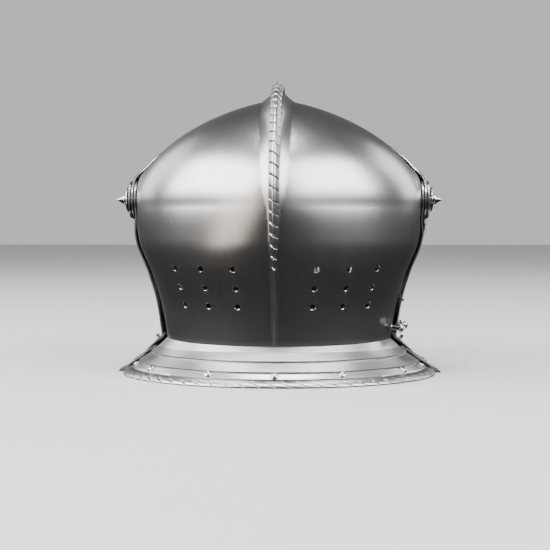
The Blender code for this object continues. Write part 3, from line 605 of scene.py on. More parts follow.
@dataclass
class SkullShell:
    """Bowl of the helmet with its roped comb, medial keel and neck holes."""

    around: int = 240
    comb_h: float = 16.8 * MM
    comb_half: float = 16 * MM
    rope_r: float = 5.3 * MM
    rope_pitch: float = 9.5 * MM
    rope_slant: float = 0.55
    cut_deep: float = 1.6 * MM
    keel_half: float = 5.6 * MM
    keel_h: float = 2.3 * MM
    line_gap: float = 0.5 * MM
    blunt: float = 0.16
    flank_power: float = 1.45
    cut_width: float = 0.09
    hole_levels: tuple[float, ...] = (100 * MM, 83.5 * MM, 67.5 * MM)
    hole_turns: tuple[float, ...] = (17.2, 32.2, 47.2)
    hole_r: float = 2.6 * MM
    hole_flare: float = 0.35 * MM
    hole_lift: float = 0.13 * MM

    def medial_line(self, start: float, low: float,
                    gap: float) -> tuple[Array, Array, Array]:
        """Skull's middle line at an even spacing.

        The dome is the polar form of a half ellipse and the nape follows the skull.

        Args:
            start: Angle above the front at which it starts, in degrees.
            low: Height at which it ends.
            gap: Spacing along the line.

        Returns:
            Points (y, z), outward normals, and angles about the dome's centre.
        """
        turn = np.radians(np.linspace(start, 180, 900))
        deep = np.where(np.cos(turn) > 0, FORM.front_depth, FORM.back_depth)
        reach = 1 / np.hypot(np.cos(turn) / deep, np.sin(turn) / FORM.dome_rise)
        upper = np.stack([reach * np.cos(turn), FORM.dome_z + reach * np.sin(turn)],
                         axis=-1)
        z = np.linspace(FORM.dome_z, low, 400)[1:]
        lower = FORM.skull(-math.pi / 2, z)[:, 1:] - (FORM.mid_y, 0)
        line = np.concatenate([upper, lower])
        run = run_along(line)
        at = np.linspace(0, run[-1], int(run[-1] / gap))
        line = np.stack([np.interp(at, run, line[:, 0]), np.interp(at, run, line[:, 1])],
                        axis=-1)
        tangent = np.gradient(line, axis=0)
        normal = np.stack([tangent[:, 1], -tangent[:, 0]], axis=-1)
        normal /= np.linalg.norm(normal, axis=1)[:, None]
        angle = np.degrees(np.arctan2(line[:, 1] - FORM.dome_z, line[:, 0])) % 360
        return line, normal, angle

    def raised(self, name: str, line: Array, normal: Array, across: Array,
               height: Array) -> bpy.types.Mesh:
        """Solid of the sections (across, height) standing on the medial line."""
        y = FORM.mid_y + line[:, :1] + normal[:, :1] * height
        z = line[:, 1:] + normal[:, 1:] * height
        return bar(name, np.stack([across, y, z], axis=-1))

    def comb(self) -> bpy.types.Mesh:
        """Comb with concave flanks under a bead filed into a rope.

        A flank is neck + (base - neck) * (1 - t)^flank_power; the bead is a circle pressed
        into a blunt ridge, and each cut follows run + slant * across.
        """
        line, normal, angle = self.medial_line(52, 98.5 * MM, self.line_gap)
        tall = self.comb_h * smooth(((52, 0.03), (65, 0.42), (90, 1), (120, 0.95),
                                     (150, 0.65), (180, 0.42), (208, 0.13)), angle)
        base = self.comb_half * smooth(((52, 0.2), (70, 0.75), (90, 1.04), (120, 0.98),
                                        (150, 0.9), (165, 0.86), (178, 0.8),
                                        (188, 0.66), (197, 0.52), (208, 0.36)), angle)
        bead = self.rope_r * smooth(((52, 0.5), (75, 1), (110, 1), (165, 0.86),
                                     (188, 0.76), (200, 0.55), (208, 0.3)), angle)
        neck = 0.86 * bead
        sunk = 0.55 * 110 * MM * (base / FORM.half_width) ** 1.6 + 0.8 * MM
        low = np.arcsin(np.clip((tall - bead + sunk) / -bead, -1, 1))
        low = np.maximum(low, -np.arccos(np.clip(neck / bead, -1, 1)))[:, None]
        turn = low + (math.pi / 2 - low) * np.linspace(0, 1, 15)
        blunt = 1 - self.blunt * np.sin(2 * np.clip(turn, 0, None)) ** 2
        arc_x = bead[:, None] * np.cos(turn) * blunt
        arc_h = (tall - bead)[:, None] + bead[:, None] * np.sin(turn) * blunt
        t = np.linspace(0, 1, 9)[:-1]
        spread = (base[:, None] - arc_x[:, :1]) * (1 - t) ** self.flank_power
        flank_x = arc_x[:, :1] + spread
        flank_h = -sunk[:, None] + (arc_h[:, :1] + sunk[:, None]) * t
        right_x = np.concatenate([flank_x, arc_x], axis=1)
        right_h = np.concatenate([flank_h, arc_h], axis=1)
        across = np.concatenate([right_x, -right_x[:, -2::-1]], axis=1)
        height = np.concatenate([right_h, right_h[:, -2::-1]], axis=1)
        run = np.arange(len(line))[:, None] * self.line_gap
        phase = (run - self.rope_slant * across) / self.rope_pitch
        on_bead = np.concatenate([np.zeros(8), np.ones(29), np.zeros(8)])
        fade = np.clip((208.5 - angle) / 4, 0, 1)[:, None]
        depth = self.cut_deep * notch(phase, self.cut_width) * on_bead * fade
        swell = 0.08 * MM * np.abs(np.cos(math.pi * phase)) ** 3 * on_bead
        height = height - (depth + swell) * np.clip(height / tall[:, None], 0, 1) ** 2
        across = across * (1 - (depth + swell) / bead[:, None] * 0.5)
        bottom = -sunk[:, None] - 0.3 * MM
        across = np.concatenate([across, 0 * bottom], axis=1)
        height = np.concatenate([height, bottom], axis=1)
        return self.raised("comb", line, normal, across, height)

    def keel(self) -> bpy.types.Mesh:
        """Low medial ridge below the rope, with hollow flanks: height * (1 - |u|)^1.1."""
        line, normal, _ = self.medial_line(150, 33.4 * MM, 2.5 * MM)
        fall = smooth(((33 * MM, 0.55), (60 * MM, 0.8), (100 * MM, 1), (200 * MM, 1)),
                      line[:, 1])[:, None]
        u = np.linspace(1, -1, 13)
        across = self.keel_half * (0.35 + 0.65 * fall) * u
        height = self.keel_h * fall * (1 - np.abs(u)) ** 1.1 - 0.5 * MM
        deep = np.full_like(fall, -1.2 * MM)
        across = np.concatenate([across, 0 * deep], axis=1)
        return self.raised("keel", line, normal, across,
                           np.concatenate([height, deep], axis=1))

    def build(self) -> bpy.types.Mesh:
        """Bowl, comb and keel in one, with its openings cut."""
        rise = np.sin(np.radians(np.linspace(0, 84, 44)))
        z = np.concatenate([np.linspace(FORM.waist_z, FORM.dome_z, 46)[:-1],
                            FORM.dome_z + FORM.dome_rise * rise])
        phi = np.linspace(0, 2 * math.pi, self.around, endpoint=False)
        bowl = sheet("skull_bowl", FORM.skull(phi[None, :], z[:, None]), True, True)
        heights = np.linspace(20, 240, 60)
        edge = smooth([(h, d) for d, h in FACE_EDGE], heights)
        outline = [*zip(edge, heights), (200, 240), (200, 20)]
        holes = [spot(FORM.skull, math.radians(-90 + side * turn), level, self.hole_lift)
                 for level in self.hole_levels for turn in self.hole_turns
                 for side in (1, -1)]
        return carved(bowl, [
            ("UNION", self.comb()), ("UNION", self.keel()),
            ("DIFFERENCE", side_prism("face_opening", outline[::-1])),
            ("DIFFERENCE", drill("neck_holes", holes, self.hole_r,
                                 flare=self.hole_flare)),
            ("DIFFERENCE", drill("catch_hole", [NECK_HOOK.catch_hole()], PIN_R + GAP)),
            ("DIFFERENCE", pivot_drill("skull_pivots", BOLT_R + GAP)),
        ], wall=FORM.skull_t, tolerant=("neck_holes",))

    def dress(self, dresser: Dresser) -> None:
        """Show the skull."""
        dresser.dress("skull_bowl", self.build(), ["skull"], Slot.STEEL, "skull", 34)


@dataclass
class FacePlates:
    """Visor and both bevors."""

    around: int = 200
    rows: int = 72
    bevel: float = 0.3 * MM
    notch_half: float = 20 * MM
    sight: tuple[float, float, float, float] = (11 * MM, 84 * MM, 119.5 * MM, 126 * MM)
    breaths: int = 5
    breath_w: float = 3 * MM
    breath_z: tuple[float, float] = (76 * MM, 94 * MM)

    def plate(self, name: str, face: Face, low: float, high: float) -> bpy.types.Mesh:
        """Sheet that wraps the face from pivot to pivot."""
        z = np.linspace(low, high, self.rows)
        step = 2 * math.pi / self.around
        phi = np.arange(-12, self.around // 2 + 13) * step
        return sheet(name, face(phi[None, :], z[:, None]))

    def slots(self, name: str, lines: Sequence[Sequence[tuple[float, float]]],
              depth: float) -> bpy.types.Mesh:
        """Cutters through the face from outlines seen from the front."""
        place = FRONT_ON.copy()
        place.translation = (0, FORM.mid_y + depth, 0)
        return joined(name, [place_mesh(flat(f"{name}_{i}", [line], 60 * MM), place)
                             for i, line in enumerate(lines)])

    def visor(self) -> bpy.types.Mesh:
        """Visor with its sights and its notch over the comb."""
        outline = flow(VISOR_LOW) + lobe(-60, -205) + flow(VISOR_TOP[::-1]) + [(200, 240)]
        wide = self.notch_half * 1.2
        mouth = flow([(-wide, 246 * MM), (-9 * MM, 230 * MM), (-3 * MM, 225 * MM),
                      (3 * MM, 225 * MM), (9 * MM, 230 * MM), (wide, 246 * MM)], 40)
        inner, outer, low, high = self.sight
        half, mid = (high - low) / 2, (high + low) / 2
        sights = []
        for side in (1, -1):
            ends = sorted((side * inner, side * outer))
            sights.append(arc((ends[1] - half, mid), half, -90, 90, 13)
                          + arc((ends[0] + half, mid), half, 90, 270, 13))
        return carved(self.plate("visor_plate", VISOR_FACE, 98 * MM, 239 * MM), [
            ("INTERSECT", side_prism("visor_outline", outline)),
            ("DIFFERENCE", self.slots("comb_notch", [mouth], 100 * MM)),
            ("DIFFERENCE", self.slots("sights", sights, 100 * MM)),
            ("DIFFERENCE", drill("peg_hole", [peg_spot()], PIN_R + GAP)),
            ("DIFFERENCE", pivot_drill("visor_pivots", BOLT_R + GAP)),
        ], wall=FORM.plate_t, bevel=self.bevel)

    def upper_bevor(self) -> bpy.types.Mesh:
        """Upper bevor with its breaths."""
        outline = flow(UPPER_LOW) + lobe(-85, -300) + flow(UPPER_TOP[::-1])
        low, high = self.breath_z
        w = self.breath_w / 2
        rows = [arc((side * (26 + 11 * i) * MM, high - w), w, 0, 180, 9)
                + arc((side * (26 + 11 * i) * MM, low + w), w, 180, 360, 9)
                for side in (1, -1) for i in range(self.breaths)]
        return carved(self.plate("upper_bevor_plate", UPPER_FACE, 49 * MM, 179 * MM), [
            ("INTERSECT", side_prism("upper_outline", outline)),
            ("DIFFERENCE", self.slots("breaths", rows, 130 * MM)),
            ("DIFFERENCE", drill("stud_hole", [BEVOR_PROP.catch_hole()], PIN_R + GAP,
                                 4 * MM)),
            ("DIFFERENCE", pivot_drill("upper_pivots", BOLT_R + GAP)),
        ], wall=FORM.plate_t, bevel=self.bevel)

    def lower_bevor(self) -> bpy.types.Mesh:
        """Lower bevor, which carries both hooks and the front of the collar."""
        outline = flow(LOWER_TOP) + lobe(55, 205) + flow(LOWER_BACK) + [(200, 20)]
        holes = [NECK_HOOK.pivot_hole(), BEVOR_PROP.pivot_hole(), EDGE_RIVET]
        return carved(self.plate("lower_bevor_plate", LOWER_FACE, FORM.waist_z, 179 * MM), [
            ("INTERSECT", side_prism("lower_outline", outline)),
            ("DIFFERENCE", drill("lower_holes", holes, PIN_R + GAP, 4 * MM)),
            ("DIFFERENCE", pivot_drill("lower_pivots", BOLT_R + GAP)),
        ], wall=FORM.plate_t, bevel=self.bevel)

    def dress(self, dresser: Dresser) -> None:
        """Show the three plates and the lifting peg."""
        dresser.dress("visor_plate", self.visor(), ["visor"], Slot.STEEL, "plates")
        dresser.dress("upper_bevor_plate", self.upper_bevor(), ["upper_bevor"],
                      Slot.STEEL, "plates")
        dresser.dress("lower_bevor_plate", self.lower_bevor(), ["lower_bevor"],
                      Slot.STEEL, "plates")
        profile = [(0, 17.0), (1.3, 16.8), (2.6, 16.0), (3.5, 14.9), (3.8, 13.6),
                   (3.5, 12.3), (2.6, 11.1), (1.8, 10.2), (1.6, 9.3), (1.6, 7.4),
                   (2.1, 7.1), (2.1, 6.4), (1.6, 6.1), (1.7, 4.3), (2.3, 3.0),
                   (3.4, 2.3), (3.8, 1.8), (3.8, 0.9), (1.2, 0.9), (1.2, -2.4),
                   (2.4, -2.4), (2.4, -3.0), (0, -3.0)]
        peg = turned("lifting_peg", [(r * MM, h * MM) for r, h in profile], 36,
                     aim(*peg_spot()))
        dresser.dress("lifting_peg", peg, ["visor_peg"], Slot.RIVET, "rivets", 30)


def peg_spot() -> tuple[Vector, Vector]:
    """Place of the visor's lifting peg."""
    return face_spot(VISOR_FACE, 112 * MM, 166 * MM)


EDGE_RIVET = face_spot(LOWER_FACE, -3 * MM, 69 * MM)


# Collar --------------------------------------------------------------------------
@dataclass
class Collar:
    """Three lames of one half of the collar, with rivets, leathers and roped rim."""

    prefix: str
    face: Face
    middle: float
    tops: tuple[float, float, float] = (33 * MM, 21.3 * MM, 12.8 * MM)
    lap: float = 4.4 * MM
    step: float = 1.7 * MM
    thick: float = 1.8 * MM
    roll_r: float = 2.8 * MM
    side_laps: tuple[float, float, float] = (4, 4, -0.2)
    rivet_angles: tuple[float, ...] = (-80, -57.5, -26, 0, 26, 57.5, 80)
    rivet_z: float = 9.3 * MM
    rivet_r: float = 3.7 * MM
    rope_pitch: float = 13.2 * MM
    twist: float = 1.25
    cut_deep: float = 0.95 * MM
    leather_t: float = 1.7 * MM
    cut_width: float = 0.085
    rivet_grip: float = 6.6 * MM
    strap_turns: tuple[float, ...] = (-57.5, 0, 57.5)
    strap_half: float = 6.5
    waist_angles: tuple[float, ...] = ()
    waist_z: float = 28.6 * MM
    waist_lift: float = 0.8 * MM
    waist_r: float = 3.2 * MM
    waist_grip: float = 3.4 * MM

    def profile(self, index: int) -> Array:
        """Closed section of a lame as (height, outward offset), outer face first."""
        top, edge = self.tops[index] + self.lap, 0.3 * MM
        low = self.tops[index + 1] - 0.3 * MM if index < 2 else 2 * self.roll_r
        if index == 0:
            outer = [(top, 0), (FORM.waist_z + 1.2 * MM, 0),
                     (FORM.waist_z - 1.5 * MM, 0.1 * MM)]
            outer += [(low + edge * 3, self.step - 0.12 * MM), (low + edge, self.step),
                      (low, self.step - edge)]
        elif index == 1:
            outer = [(top, -self.step), (low + edge * 3, self.step - 0.25 * MM),
                     (low + edge, self.step), (low, self.step - edge)]
        else:
            return self.rolled(top)
        inner = [(z, o - self.thick) for z, o in (outer[0], outer[-1])][::-1]
        return np.array(outer + inner)

    def rolled(self, top: float) -> Array:
        """Section of the lowest lame, whose edge is rolled round a wire."""
        lip = 0.1 * self.step
        centre = (self.roll_r, lip - self.thick / 2)
        edge = 2 * self.roll_r + 1.2 * MM
        turn = np.radians(np.linspace(52, -232, 27))
        roll = [(centre[0] + self.roll_r * math.sin(t),
                 centre[1] + self.roll_r * math.cos(t)) for t in turn]
        sunk = [(edge + 1.1 * MM, lip + 0.2 * MM), (edge + 0.2 * MM, lip + 0.15 * MM),
                (edge - 0.5 * MM, lip - 0.45 * MM)]
        return np.array([(top, -self.step), *sunk, *roll, (edge, lip - self.thick),
                         (top, -self.step - self.thick)])

    def lame(self, index: int) -> bpy.types.Mesh:
        """One lame, its section carried round the collar.

        On the lowest one each point of the roll sinks toward the roll's middle where a
        cut passes; a cut advances along the rim as it goes round the roll.
        """
        section = self.profile(index)
        half = 90 + self.side_laps[index]
        count = 700 if index == 2 else 180
        phi = np.radians(np.linspace(self.middle - half, self.middle + half, count))
        z, out = section[:, 0][None, :], section[:, 1][None, :]
        if index == 2:
            centre = np.array([self.roll_r, 0.1 * self.step - self.thick / 2])
            run = run_along(self.face(phi, np.full_like(phi, self.roll_r)))
            on_roll = np.zeros(len(section))
            on_roll[5:-3] = 1
            around = np.arctan2(section[:, 0] - centre[0], section[:, 1] - centre[1])
            phase = run[:, None] / self.rope_pitch + self.twist * around[None, :] / math.pi
            sink = (self.cut_deep * notch(phase, self.cut_width)
                    + 0.07 * MM * np.abs(np.cos(math.pi * phase)) ** 4) * on_roll
            z = z - sink * np.sin(around)[None, :]
            out = out - sink * np.cos(around)[None, :]
        word = ("upper", "middle", "lower")[index]
        return bar(f"{self.prefix}_{word}_lame", self.face(phi[:, None], z, out))

    def waist_spots(self) -> list[tuple[Vector, Vector]]:
        """Where the front half's top lame is riveted at the sides."""
        return [spot(self.face, math.radians(angle), self.waist_z, self.waist_lift)
                for angle in self.waist_angles]

    def leather(self, index: int, angle: float) -> bpy.types.Mesh:
        """Strap behind the lames: a rounded section carried over a few degrees."""
        phi = np.radians(np.linspace(angle - self.strap_half, angle + self.strap_half, 24))
        height = np.linspace(31, 6.5, 22) * MM
        outer, inner = -5.2 * MM, -5.2 * MM - self.leather_t * 1.5
        z = np.concatenate([height, height[::-1]])
        crown = 0.35 * MM * np.concatenate([np.cos(np.linspace(-1.5, 1.5, 22)) ** 0.5] * 2)
        out = np.concatenate([np.full(22, outer - 0.35 * MM), np.full(22, inner)])
        out[:22] += crown[:22]
        side = np.clip((self.strap_half - np.abs(np.degrees(phi) - angle)) / 0.6,
                       0, 1)[:, None]
        thin = (1 - side) * 0.5 * MM
        out = out[None, :] + np.where(np.arange(44) < 22, -1, 1)[None, :] * thin
        return bar(f"{self.prefix}_strap_{index + 1}", self.face(phi[:, None], z, out))

    def dress(self, dresser: Dresser) -> None:
        """Show the half collar."""
        spots = [spot(self.face, math.radians(self.middle + t), self.rivet_z)
                 for t in self.rivet_angles]
        for index, word in enumerate(("upper", "middle", "lower")):
            data = self.lame(index)
            holes = (self.waist_spots(), [], spots)[index]
            if holes:
                data = carved(data, [("DIFFERENCE", drill("lame_holes", holes,
                                                          PIN_R + GAP, 6 * MM))])
            dresser.dress(f"{self.prefix}_{word}_plate", data,
                          [f"{self.prefix}_lame_{word}"], Slot.STEEL, "collar", 34)
        for i, (point, normal) in enumerate(spots):
            data = domed_rivet(f"{self.prefix}_rim_head_{i + 1}", self.rivet_r,
                               self.rivet_grip, aim(point, normal))
            dresser.dress(f"{self.prefix}_rim_head_{i + 1}", data,
                          [f"{self.prefix}_rim_rivet_{i + 1}"], Slot.RIVET, "rivets", 30)
        for word, (point, normal) in zip(("right", "left"), self.waist_spots()):
            data = domed_rivet(f"waist_head_{word}", self.waist_r, self.waist_grip,
                               aim(point, normal))
            dresser.dress(f"waist_head_{word}", data, [f"waist_rivet_{word}"],
                          Slot.RIVET, "rivets", 30)
        for i, t in enumerate(self.strap_turns):
            data = carved(self.leather(i, self.middle + t),
                          [("DIFFERENCE", drill("strap_hole", [
                              spot(self.face, math.radians(self.middle + t),
                                   self.rivet_z)], PIN_R + GAP, 12 * MM))])
            dresser.dress(f"{self.prefix}_strap_{i + 1}", data,
                          [f"{self.prefix}_leather_{i + 1}"], Slot.LEATHER, "leather", 50)


# Fasteners -----------------------------------------------------------------------
def domed_rivet(name: str, radius: float, grip: float, matrix: Matrix,
                stand: float = 0.3 * MM, tall: float = 0.55) -> bpy.types.Mesh:
    """Domed rivet: an elliptical head with a small lip, a shank and a clenched tail."""
    dome = [(radius * 0.94 * math.sin(a), stand + 0.15 * MM + radius * tall * 0.94
             * math.cos(a)) for a in np.radians(np.linspace(0, 88, 12))]
    lip = [(radius, stand + 0.12 * MM), (radius, stand)]
    shank = [(PIN_R, stand), (PIN_R, -grip), (PIN_R * 1.8, -grip),
             (PIN_R * 1.8, -grip - 0.4 * MM), (PIN_R * 1.5, -grip - 0.6 * MM),
             (0, -grip - 0.6 * MM)]
    return turned(name, dome + lip + shank, 32, matrix)


@dataclass
class Pivots:
    """Spiked bolts, stepped rosettes and nuts of both pivots."""

    spike_r: float = 4.6 * MM
    tip: float = 152 * MM
    rosette_r: float = 11.6 * MM
    rosette_t: float = 2.2 * MM
    nut_r: float = 5.5 * MM
    nut_t: float = 3.0 * MM

    def bolt(self, name: str, base: float, end: float, matrix: Matrix) -> bpy.types.Mesh:
        """Bolt whose head is a collared spike with slightly hollow flanks."""
        r, tip = self.spike_r, self.tip
        t = np.linspace(0, 1, 12)
        low = base + 2.6 * MM
        point = tip - 0.25 * MM
        flank = [(r * (0.05 + 0.77 * x ** 1.12), point - (point - low) * x) for x in t]
        profile = [(0, tip), *flank, (0.84 * r, low - 0.3 * MM),
                   (0.97 * r, base + 1.7 * MM), (r, base + 1.2 * MM),
                   (r, base + 0.5 * MM), (0.95 * r, base),
                   (BOLT_R, base), (BOLT_R, end + 0.4 * MM), (BOLT_R - 0.4 * MM, end),
                   (0, end)]
        return turned(name, profile, 48, matrix)

    def rosette(self, name: str, low: float, matrix: Matrix) -> bpy.types.Mesh:
        """Rosette in three rounded steps whose rim is filed into petals."""
        r, t, hole = self.rosette_r, self.rosette_t, BOLT_R + GAP
        section = np.array([(hole, low), (r - 0.25 * MM, low), (r, low + 0.3 * MM),
                            (r - 0.1 * MM, low + 0.28 * t), (r * 0.93, low + 0.4 * t),
                            (r * 0.87, low + 0.42 * t), (r * 0.85, low + 0.5 * t),
                            (r * 0.83, low + 0.66 * t), (r * 0.76, low + 0.74 * t),
                            (r * 0.66, low + 0.76 * t), (r * 0.64, low + 0.84 * t),
                            (r * 0.61, low + 0.95 * t), (r * 0.55, low + t),
                            (hole + 0.2 * MM, low + t), (hole, low + t - 0.2 * MM)])
        turn = np.linspace(0, 2 * math.pi, 192, endpoint=False)[:, None]
        radius, height = section[:, 0][None, :], section[:, 1][None, :]
        rim = np.clip((radius / r - 0.86) / 0.1, 0, 1)
        radius = radius - rim * 0.5 * MM * (1 - np.abs(np.cos(6 * turn)) ** 0.6)
        return spun(name, radius, turn, height, matrix)

    def nut(self, name: str, high: float, matrix: Matrix) -> bpy.types.Mesh:
        """Hexagonal nut with turned-off corners."""
        low, r, hole = high - self.nut_t, self.nut_r, BOLT_R + GAP
        turn = np.linspace(0, 2 * math.pi, 72, endpoint=False)[:, None]
        across = r * math.cos(math.pi / 6)
        hexagon = across / np.cos((turn + math.pi / 6) % (math.pi / 3) - math.pi / 6)
        trim = np.minimum(hexagon, across * 1.03)
        radius = np.concatenate([0 * turn + hole, trim, hexagon, hexagon, trim,
                                 0 * turn + hole], axis=1)
        height = np.array([low, low, low + 0.5 * MM, high - 0.5 * MM, high, high])
        return spun(name, radius, turn, height[None, :], matrix)

    def dress(self, dresser: Dresser) -> None:
        """Show both pivots."""
        outer = FORM.boss_half + 3 * FORM.layer
        base = outer + self.rosette_t + 2 * GAP
        nut_out = FORM.boss_half - FORM.skull_t - 4 * GAP
        for side, word in ((1, "right"), (-1, "left")):
            place = aim(Vector((0, FORM.mid_y, FORM.pivot_z)), Vector((side, 0, 0)))
            bolt = self.bolt(f"spike_{word}", base, nut_out - self.nut_t - 0.8 * MM, place)
            dresser.dress(f"spike_{word}", bolt, [f"pivot_bolt_{word}"], Slot.RIVET,
                          "rivets", 30)
            rosette = self.rosette(f"rosette_{word}", outer + GAP, place)
            dresser.dress(f"rosette_{word}", rosette, [f"pivot_rosette_{word}"],
                          Slot.RIVET, "rivets", 30)
            nut = self.nut(f"nut_{word}", nut_out, place)
            dresser.dress(f"nut_{word}", nut, [f"pivot_nut_{word}"], Slot.DARK, "dark", 30)


class HookEnd(Enum):
    """Shape of a hook's free end."""

    BENT = "bent"
    NOTCHED = "notched"


@dataclass
class HookSet:
    """Swivelling hook with the knob it turns on and the stud it catches."""

    name: str
    pivot: tuple[Face, float, float]
    catch: tuple[Face, float, float]
    rise: float
    stand: float
    knob_r: float
    end: HookEnd
    grip: float = 3 * MM
    eye: float = 4.4 * MM
    thick: float = 1.8 * MM
    stud_r: float = 2.3 * MM

    def __post_init__(self) -> None:
        """Set the hook's frame between its pivot and its catch."""
        start, normal = face_spot(*self.pivot)
        self.seat, seat_normal = face_spot(*self.catch)
        start = start + normal * self.rise
        end = self.seat + seat_normal * self.stand
        along = (end - start).normalized()
        self.out = (normal - along * normal.dot(along)).normalized()
        self.place = Matrix((along, self.out.cross(along), self.out)).transposed().to_4x4()
        self.place.translation = start + self.out * self.thick / 2
        self.length = (end - start).length
        self.stand = (end - self.seat).dot(self.out)
        self.seat = end - self.out * self.stand

    def pivot_hole(self) -> tuple[Vector, Vector]:
        """Where the knob's shank goes through the plate below it."""
        return self.place.translation - self.out * (self.rise + self.thick / 2), self.out

    def catch_hole(self) -> tuple[Vector, Vector]:
        """Where the stud's shank goes through the plate below it."""
        return self.seat, self.out

    def outline(self) -> list[list[tuple[float, float]]]:
        """Flat outline of the hook and its eye, the pivot at the origin."""
        length, mouth = self.length, self.stud_r + 0.5 * MM
        hole = arc((0, 0), PIN_R + GAP + 0.5 * MM, 0, 348, 30)
        if self.end is HookEnd.NOTCHED:
            arm = mouth + 2.2 * MM
            lower = flow([(3.4 * MM, -2.8 * MM), (length - mouth - 9 * MM, -2.1 * MM),
                          (length - mouth - 3 * MM, -2.6 * MM),
                          (length - 1.15 * mouth, -0.6 * mouth)], 24)
            seat = arc((length, 0), mouth, 200, 90, 25)
            upper = flow([(length + MM, mouth + 0.5 * MM), (length + 0.8 * MM, arm - MM),
                          (length - 0.4 * mouth, arm), (length - 1.3 * mouth, arm - MM),
                          (length - mouth - 5 * MM, 2.3 * MM), (3.4 * MM, 2.8 * MM)], 30)
            return [arc((0, 0), self.eye, 40, 320, 40) + lower + seat + upper, hole]
        lower = flow([(3.0 * MM, 3.2 * MM), (length - mouth - 9 * MM, 2.2 * MM),
                      (length - mouth - 4 * MM, 2.6 * MM),
                      (length - mouth - 2 * MM, 4.1 * MM), (length - mouth, 4.2 * MM)], 26)
        seat = arc((length, 0), mouth, 180, 360, 25)
        tip = flow([(length + mouth, 2.6 * MM), (length + mouth + 0.5 * MM, 3.3 * MM),
                    (length + mouth + 1.5 * MM, 2.9 * MM)], 8)
        over = arc((length, 0), mouth + 2.4 * MM, 10, -90, 22)
        return [arc((0, 0), self.eye, 300, 60, 36) + lower + seat + tip + over, hole]

    def knob(self) -> bpy.types.Mesh:
        """Ball-headed knob on its washer and shank."""
        low, high = -self.thick / 2, self.thick / 2 + GAP
        tail = low - self.rise - self.grip
        ball = [(self.knob_r * math.sin(a), high + self.knob_r * (0.9 + 0.9 * math.cos(a)))
                for a in np.radians(np.linspace(0, 152, 20))]
        foot = low - self.rise + 1.3 * MM
        shank = [(PIN_R + 0.4 * MM, high), (PIN_R + 0.4 * MM, low - GAP),
                 (PIN_R * 1.8, low - GAP), (PIN_R * 1.9, low - GAP - 0.2 * MM),
                 (PIN_R * 1.9, foot), (PIN_R, foot), (PIN_R, tail), (PIN_R * 1.9, tail),
                 (PIN_R * 1.9, tail - 0.6 * MM), (0, tail - 0.6 * MM)]
        return turned(f"{self.name}_ball", ball + shank, 36, self.place)

    def stud(self) -> bpy.types.Mesh:
        """Mushroom stud on a collared foot."""
        top = self.stand + self.thick + GAP
        head = [(3.3 * MM * math.sin(a), top + 0.3 * MM + 1.3 * MM * math.cos(a))
                for a in np.radians(np.linspace(0, 88, 12))]
        foot = [(3.4 * MM, top + 0.15 * MM), (3.3 * MM, top), (self.stud_r, top),
                (self.stud_r, 2 * MM), (3.1 * MM, 1.75 * MM), (3.2 * MM, 1.55 * MM),
                (3.2 * MM, 1.2 * MM), (PIN_R, 1.2 * MM), (PIN_R, -self.grip),
                (PIN_R * 1.9, -self.grip), (PIN_R * 1.9, -self.grip - 0.6 * MM),
                (0, -self.grip - 0.6 * MM)]
        return turned(f"{self.name}_mushroom", head + foot, 36, aim(self.seat, self.out))

    def dress(self, dresser: Dresser) -> None:
        """Show the hook, its knob and its stud."""
        hook = place_mesh(flat(f"{self.name}_bar", self.outline(), self.thick / 2,
                               0.3 * MM), self.place)
        dresser.dress(f"{self.name}_bar", hook, [self.name], Slot.STEEL, "rivets", 30)
        dresser.dress(f"{self.name}_ball", self.knob(), [f"{self.name}_knob"],
                      Slot.RIVET, "rivets", 30)
        dresser.dress(f"{self.name}_mushroom", self.stud(), [f"{self.name}_stud"],
                      Slot.RIVET, "rivets", 30)


NECK_HOOK = HookSet("neck_hook", (LOWER_FACE, 22 * MM, 44 * MM),
                    (FORM.skull, -24 * MM, 45 * MM), 5.2 * MM, 9.4 * MM, 3.6 * MM,
                    HookEnd.BENT)
BEVOR_PROP = HookSet("bevor_hook", (LOWER_FACE, 78 * MM, 60 * MM),
                     (UPPER_FACE, 88 * MM, 93 * MM), 8.2 * MM, 3.8 * MM, 3.2 * MM,
                     HookEnd.NOTCHED)


